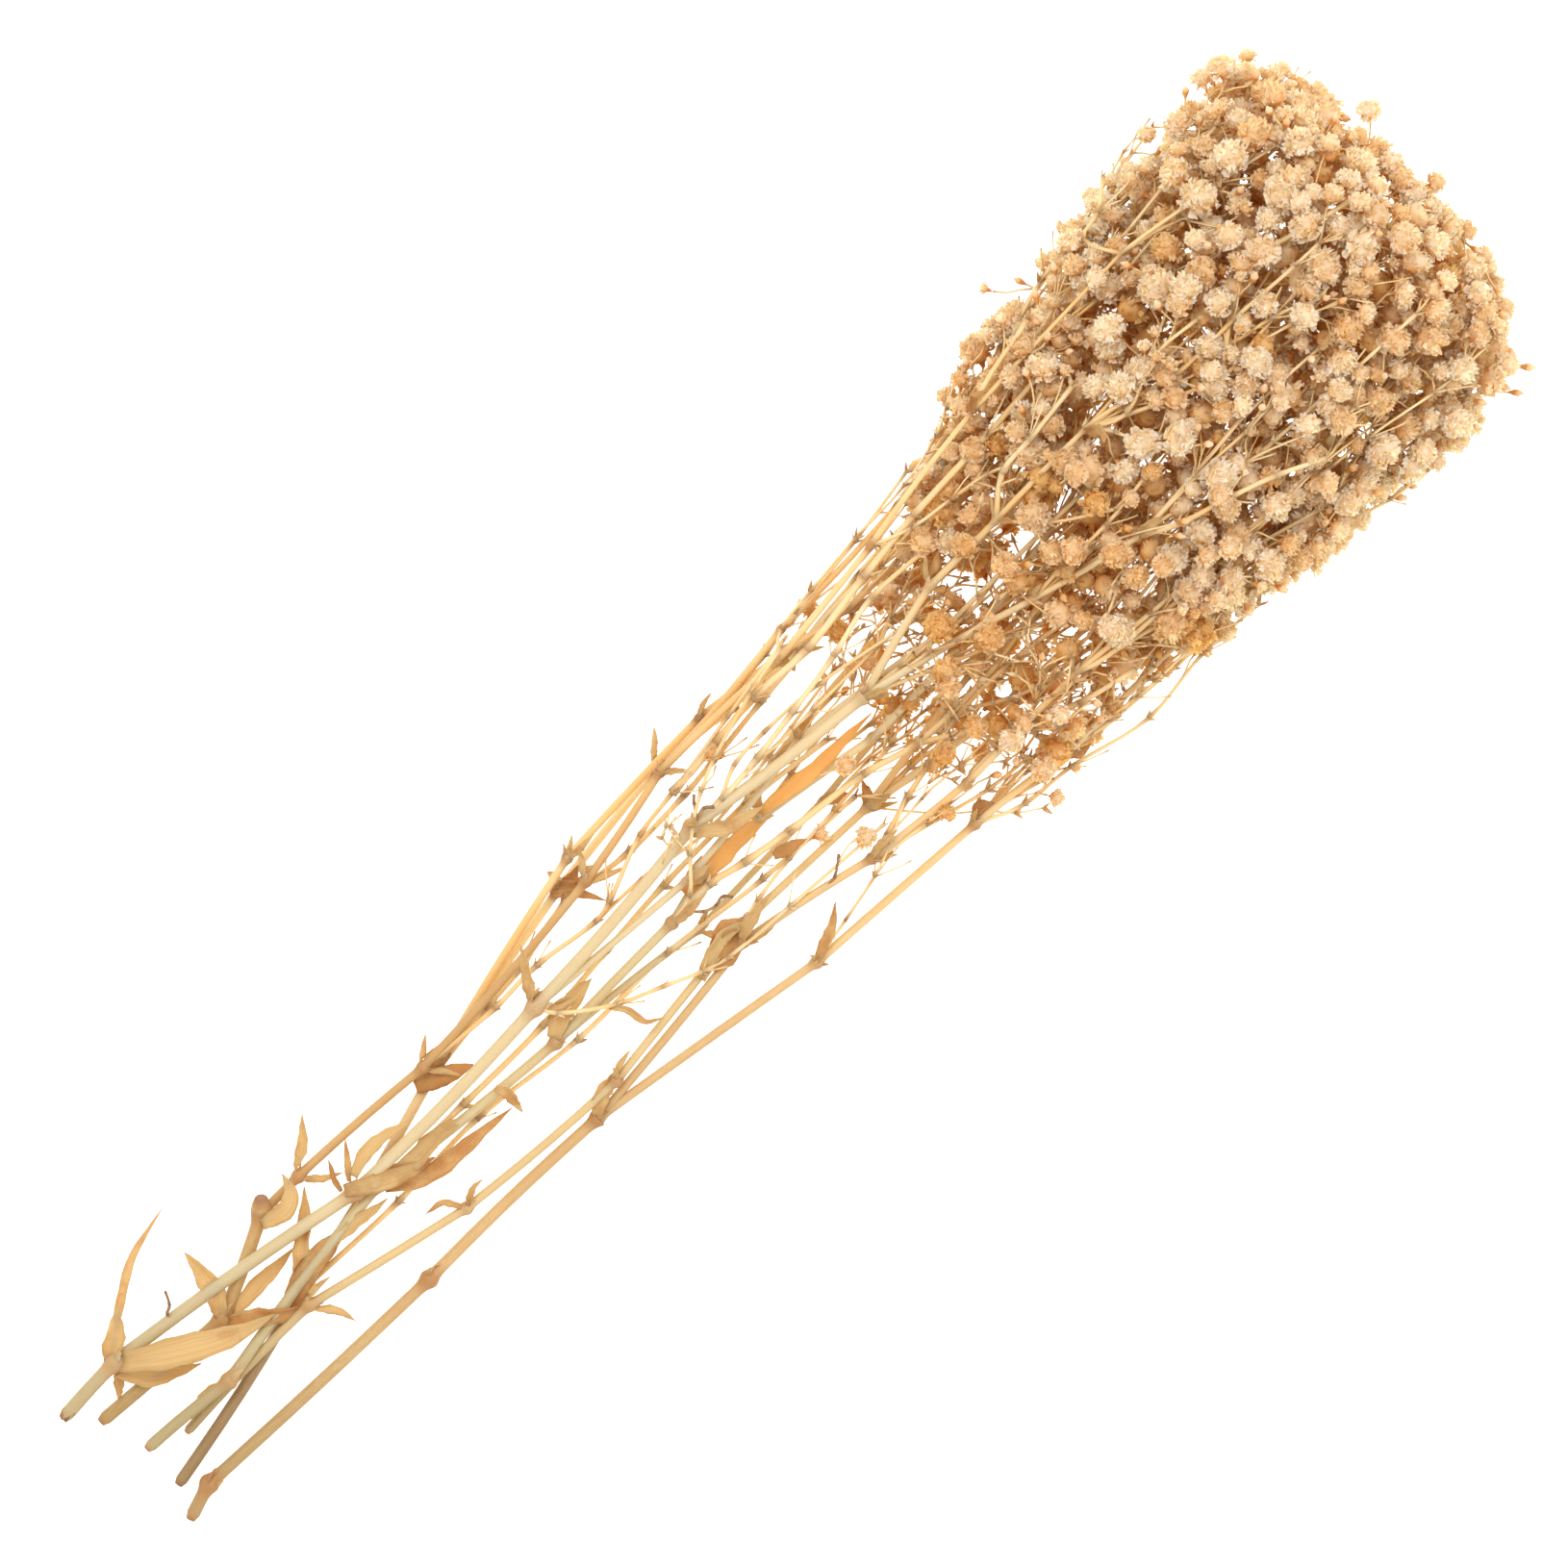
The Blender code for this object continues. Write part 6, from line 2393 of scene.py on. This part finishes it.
@dataclass(frozen=True)
class FloorFinish:
    """Plain pale studio floor, lit from within as a light table is."""

    name: str = "studio_floor"
    shades: Span = (0.3, 0.33)
    haze_scale: float = 3.0
    relief: float = 0.001
    roughness: float = 0.9
    light: Colour = (1.0, 0.975, 0.93, 1.0)
    shine: float = 1.35

    def material(self) -> Material:
        """Build the node tree.

        Returns:
            The material.
        """
        sheet = NodeSheet(self.name)
        haze = sheet.noise(sheet.object_place(), self.haze_scale, 2.0)
        body = sheet.ramp(haze, *enumerate(self.shades))
        shader = sheet.node("BsdfPrincipled", {
            "Base Color": body, "Roughness": self.roughness,
            "Normal": sheet.bump(haze, 0.02, self.relief), "Specular IOR Level": SHEEN,
            "Emission Color": self.light, "Emission Strength": self.shine})
        sheet.node("OutputMaterial", {"Surface": shader.outputs["BSDF"]})
        return sheet.material


@dataclass
class StrandMaker:
    """Makes stems and stalks as bevelled curves, turned into meshes with their notes."""

    rib_count: int = 8
    rib_depth: float = 0.07
    gold_run: float = 140.0
    most_gold: float = 0.85
    grain_run: float = 14.0
    grain_step: float = 7.3

    def ribbed_profile(self) -> Item:
        """Closed section of a ribbed stem, of radius 1 mm.

        Returns:
            The section as a curve object.
        """
        section = bpy.data.curves.new("ribbed_section", "CURVE")
        spline = section.splines.new("POLY")
        count = self.rib_count * 2
        spline.points.add(count - 1)
        for k, point in enumerate(spline.points):
            angle = FULL_TURN * k / count
            radius = MM * (1 - self.rib_depth * (k % 2))
            point.co = (radius * math.cos(angle), radius * math.sin(angle), 0, 1)
        spline.use_cyclic_u = True
        return shown("ribbed_section", section)

    def make(self, strands: list[Strand], resolution: int | None, thin: float,
             gold_from: float) -> Item:
        """Turn strands into one mesh object.

        Args:
            strands: The strands.
            resolution: Bevel resolution of a round section, or None for the ribbed one.
            thin: Least share of the thin stalks' gold.
            gold_from: How far along the bunch that gold starts on thicker strands.

        Returns:
            The object, with notes for its material on its vertices.
        """
        curve = bpy.data.curves.new("strands", "CURVE")
        curve.dimensions = "3D"
        profile = None
        if resolution is None:
            profile = self.ribbed_profile()
            curve.bevel_mode = "OBJECT"
            curve.bevel_object = profile
        else:
            curve.bevel_depth = MM
            curve.bevel_resolution = resolution
        for strand in strands:
            spline = curve.splines.new("POLY")
            spline.points.add(len(strand.line) - 1)
            places = np.column_stack((placed(strand.line), np.ones(len(strand.line))))
            spline.points.foreach_set("co", places.ravel())
            spline.points.foreach_set("radius", strand.radii)
        made = joined("strands", [shown("strands", curve)])
        bpy.ops.object.convert(target="MESH")
        if profile:
            bpy.data.objects.remove(profile)
        self.write_notes(made.data, strands, thin, gold_from)
        bpy.ops.object.mode_set(mode="EDIT")
        bpy.ops.mesh.select_all(action="SELECT")
        bpy.ops.mesh.fill_holes(sides=0)
        bpy.ops.object.mode_set(mode="OBJECT")
        return made

    def write_notes(self, mesh: Mesh, strands: list[Strand], thin: float,
                    gold_from: float) -> None:
        """Note tone, joints, gold and grain on the rings of every strand, in their order.

        Args:
            mesh: The converted mesh.
            strands: Its strands.
            thin: Least share of the thin stalks' gold.
            gold_from: How far along the bunch that gold starts on thicker strands.
        """
        sides = len(mesh.vertices) // sum(len(strand.line) for strand in strands)
        golden = [np.clip((s.line[:, 0] - gold_from) / self.gold_run, 0.0, self.most_gold)
                  for s in strands]
        tones = [np.full(len(s.line), s.tone) for s in strands]
        for name, rings in (("tone", tones), ("joint", [s.joints for s in strands]),
                            ("thin", [np.maximum(thin, share) for share in golden])):
            note(mesh, name, np.repeat(np.concatenate(rings), sides))
        grain = []
        turns = np.linspace(0, FULL_TURN, sides, endpoint=False)
        for k, strand in enumerate(strands):
            runs = np.cumsum(lengths(np.diff(strand.line, axis=0)))
            along = np.concatenate(([0.0], runs)) / self.grain_run + k * self.grain_step
            rows = np.zeros((len(along), sides, 3), np.float32)
            rows[:, :, 0] = np.cos(turns)
            rows[:, :, 1] = np.sin(turns)
            rows[:, :, 2] = along[:, None]
            grain.append(rows.ravel())
        layer = mesh.attributes.new("grain", "FLOAT_VECTOR", "POINT")
        layer.data.foreach_set("vector", np.concatenate(grain))


def dress(piece: Item, material: Material, node: str) -> None:
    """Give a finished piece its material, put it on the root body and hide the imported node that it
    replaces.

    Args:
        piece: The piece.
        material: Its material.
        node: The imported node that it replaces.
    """
    piece.data.materials.clear()
    piece.data.materials.append(material)
    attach(piece, "root")
    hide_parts(node)
    log.info("%s: %d faces", piece.name, len(piece.data.polygons))


@dataclass
class Bouquet:
    """The six stems, each with its stems and stalks, its blooms and its leaves as pieces."""

    fine: FineGrowth
    blooms: BloomStock
    leaves: LeafStock
    strands: StrandMaker = field(default_factory=StrandMaker)
    gold_from: Values = (280.0, 200.0, 240.0, 70.0, 240.0, 220.0)
    twig_gold: float = 0.8
    bract_gold: float = 0.6
    bract_brown: Span = (0.35, 0.5)
    sharp_angle: float = 2.1
    bark: float = 0.32
    pith: float = 1.0
    # how dark the sunk middle of a cut end is painted, with the burnt colour
    sunk_cut_darkening: float = 1.8
    fray: Span = (-1.6, 1.2)
    uneven: Span = (0.88, 1.16)
    leaf_face: Place = (0.0, 0.1, 1.0)
    leaf_thickness: float = 0.25
    apart: float = 7.0
    lowest: float = 0.12

    def build(self) -> None:
        """Model the forms once, then make the three pieces of each stem."""
        self.blooms.model()
        self.leaves.model()
        bract = BractForm().model()
        petals = PetalFinish().material()
        leaf = LeafFinish().material()
        for number, (node, finish) in enumerate(zip(STEMS, STEM_FINISHES)):
            stem = self.fine.stems[number]
            dress(self.stems_piece(number, stem, bract), finish.material(), node)
            dress(self.blooms_piece(number, stem), petals, node)
            dress(self.leaves_piece(number, stem), leaf, node)

    def stems_piece(self, number: int, stem: StemGrowth, bract: Mesh) -> Item:
        """Stem, limbs, twigs, stalks and scale leaves as one piece.

        Args:
            number: The stem's number.
            stem: What it bears.
            bract: The scale leaf form.

        Returns:
            The piece.
        """
        trunk, gold_from = stem.limbs[0], self.gold_from[number]
        limbs = self.strands.make(stem.limbs, None, 0.0, gold_from)
        for end in (0, -1) if number == BROKEN_STEM else (0,):
            self.hollow_end(trunk.line[end], trunk.radii[end], number == 0)
        items = [limbs, self.strands.make(stem.twigs, 1, self.twig_gold, gold_from),
                 self.strands.make(stem.stalks, 0, 1.0, gold_from)]
        least, toned = self.bract_brown
        for scale in stem.bracts:
            turn = self.fine.rng.uniform(0, FULL_TURN)
            size = (scale.width, scale.width, scale.length)
            items.append(copied(bract, stance(scale.place, scale.axis, turn, size), tone=scale.tone,
                                joint=least + toned * scale.tone, thin=self.bract_gold))
        piece = self.rested(joined(f"stems_{number + 1}", items))
        bpy.ops.object.shade_smooth_by_angle(angle=self.sharp_angle)
        return piece

    def hollow_end(self, end: Array, radius: float, frayed: bool) -> None:
        """Sink the pith of a cut end of the active object below its wall of bark.

        Args:
            end: Plan position of the cut's middle.
            radius: The stem's radius there.
            frayed: Whether the rim is torn.
        """
        middle = Vector(placed(end))
        mesh = bpy.context.active_object.data
        bpy.ops.object.mode_set(mode="EDIT")
        bpy.ops.mesh.select_mode(type="FACE")
        shape = bmesh.from_edit_mesh(mesh)
        rim = []
        for face in shape.faces:
            near = (face.calc_center_median() - middle).length < radius * MM / 3
            face.select = near and len(face.verts) > self.strands.rib_count
            if face.select:
                rim = list(face.verts)
        for vertex in rim if frayed else ():
            vertex.co.x += self.fine.rng.uniform(*self.fray) * MM
        bmesh.update_edit_mesh(mesh)
        bpy.ops.mesh.inset(thickness=radius * self.bark * MM, depth=-radius * self.pith * MM)
        bpy.ops.object.mode_set(mode="OBJECT")
        # The sunk middle of the cut is painted dark, with the burnt colour.
        joint = mesh.attributes["joint"].data
        for vertex in mesh.vertices:
            if vertex.select:
                joint[vertex.index].value = self.sunk_cut_darkening

    def rested(self, piece: Item) -> Item:
        """Smooth a piece, and lay what would be under the surface on it.

        Args:
            piece: The piece.

        Returns:
            The piece.
        """
        places = corners_of(piece.data)
        places[:, 2] = np.maximum(places[:, 2], self.lowest * MM)
        piece.data.vertices.foreach_set("co", places.ravel())
        piece.data.shade_smooth()
        return piece

    def blooms_piece(self, number: int, stem: StemGrowth) -> Item:
        """All blooms and buds of a stem as one piece.

        Args:
            number: The stem's number.
            stem: What it bears.

        Returns:
            The piece.
        """
        items = []
        for bloom in stem.blooms:
            forms = self.blooms.forms[bloom.kind]
            form = forms[self.fine.rng.integers(len(forms))]
            turn = self.fine.rng.uniform(0, FULL_TURN)
            size = bloom.radius * self.fine.rng.uniform(*self.uneven, 3)
            items.append(copied(form, stance(bloom.place, bloom.axis, turn, size), tone=bloom.tone))
        return self.rested(joined(f"blooms_{number + 1}", items))

    def leaves_piece(self, number: int, stem: StemGrowth) -> Item:
        """All leaves of a stem as one piece, with their thickness.

        Args:
            number: The stem's number.
            stem: What it bears.

        Returns:
            The piece.
        """
        in_full = [Blade(list(np.array(plan.line, dtype=float)), np.array(self.leaf_face),
                         plan.width, plan.wrap, plan.brown)
                   for plan in SHOWN_LEAVES if plan.stem == number]
        feet = np.array([blade.line[0] for blade in in_full])
        blades = in_full + stem.curls
        blades += [blade for blade in self.fine.growth.blades[number]
                   if min(lengths(feet - blade.line[0])) > self.apart]
        piece = joined(f"leaves_{number + 1}", [self.leaves.bend(blade) for blade in blades])
        solid = piece.modifiers.new("thickness", "SOLIDIFY")
        solid.thickness = self.leaf_thickness * MM
        solid.offset = 0.0
        bpy.ops.object.modifier_apply(modifier=solid.name)
        return self.rested(piece)


@dataclass(frozen=True)
class Lamp:
    """A square soft lamp aimed at the bunch: its side is in metres, its power in watts."""

    name: str
    place: Place
    side: float
    power: float

    def hang(self) -> None:
        """Hang the lamp."""
        light = bpy.data.lights.new(self.name, "AREA")
        light.size = self.side
        light.energy = self.power
        item = shown(self.name, light)
        item.location = self.place
        item.rotation_euler = (-Vector(self.place)).to_track_quat("-Z", "Y").to_euler()


@dataclass(frozen=True)
class Stage:
    """Pale floor, soft studio light and the camera that looks straight down."""

    picture_middle: Span = (0.0135, 0.0077)
    picture_width: float = 0.4677
    picture_turn: float = -45.65
    camera_height: float = 2.2
    sharp_height: float = 0.04
    sensor: float = 36.0
    floor_size: float = 8.0
    sky_colour: Colour = (1.0, 0.99, 0.98, 1.0)
    sky_strength: float = 1.1
    lamps: tuple[Lamp, ...] = (Lamp("key", (0.2, 0.8, 1.6), 1.0, 18.5),
                               Lamp("fill", (1.0, -0.6, 1.1), 1.6, 13.0))

    def build(self) -> None:
        """Set up floor, light and camera."""
        self.lay_floor()
        self.light_sky()
        for lamp in self.lamps:
            lamp.hang()
        self.set_camera()

    def lay_floor(self) -> None:
        """The floor just under the bunch."""
        deselect_all()
        bpy.ops.mesh.primitive_plane_add(size=self.floor_size, location=(0, 0, 0))
        floor = bpy.context.active_object
        floor.name = "floor"
        floor.data.materials.append(FloorFinish().material())

    def light_sky(self) -> None:
        """A bright even sky."""
        world = bpy.data.worlds.new("studio")
        world.use_nodes = True
        sky = world.node_tree.nodes["Background"]
        sky.inputs["Color"].default_value = self.sky_colour
        sky.inputs["Strength"].default_value = self.sky_strength
        bpy.context.scene.world = world

    def set_camera(self) -> None:
        """The camera, straight above the picture's middle."""
        camera = bpy.data.cameras.new("camera")
        camera.sensor_width = self.sensor
        distance = self.camera_height - self.sharp_height
        camera.lens = self.sensor * distance / self.picture_width
        item = shown("camera", camera)
        item.location = (*self.picture_middle, self.camera_height)
        item.rotation_euler = (0, 0, math.radians(self.picture_turn))
        bpy.context.scene.camera = item
        bpy.context.scene.view_settings.view_transform = "Standard"


def main() -> None:
    """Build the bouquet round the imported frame, and its stage."""
    logging.basicConfig(level=logging.INFO, format="%(name)s: %(message)s", stream=sys.stdout)
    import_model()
    growth = Growth()
    growth.grow()
    rng = np.random.default_rng(DETAIL_SEED)
    fine = FineGrowth(growth, rng)
    fine.grow()
    log.info("blooms: %d", sum(len(stem.blooms) for stem in fine.stems))
    Bouquet(fine, BloomStock(rng), LeafStock(rng)).build()
    Stage().build()


if __name__ == "__main__":
    main()
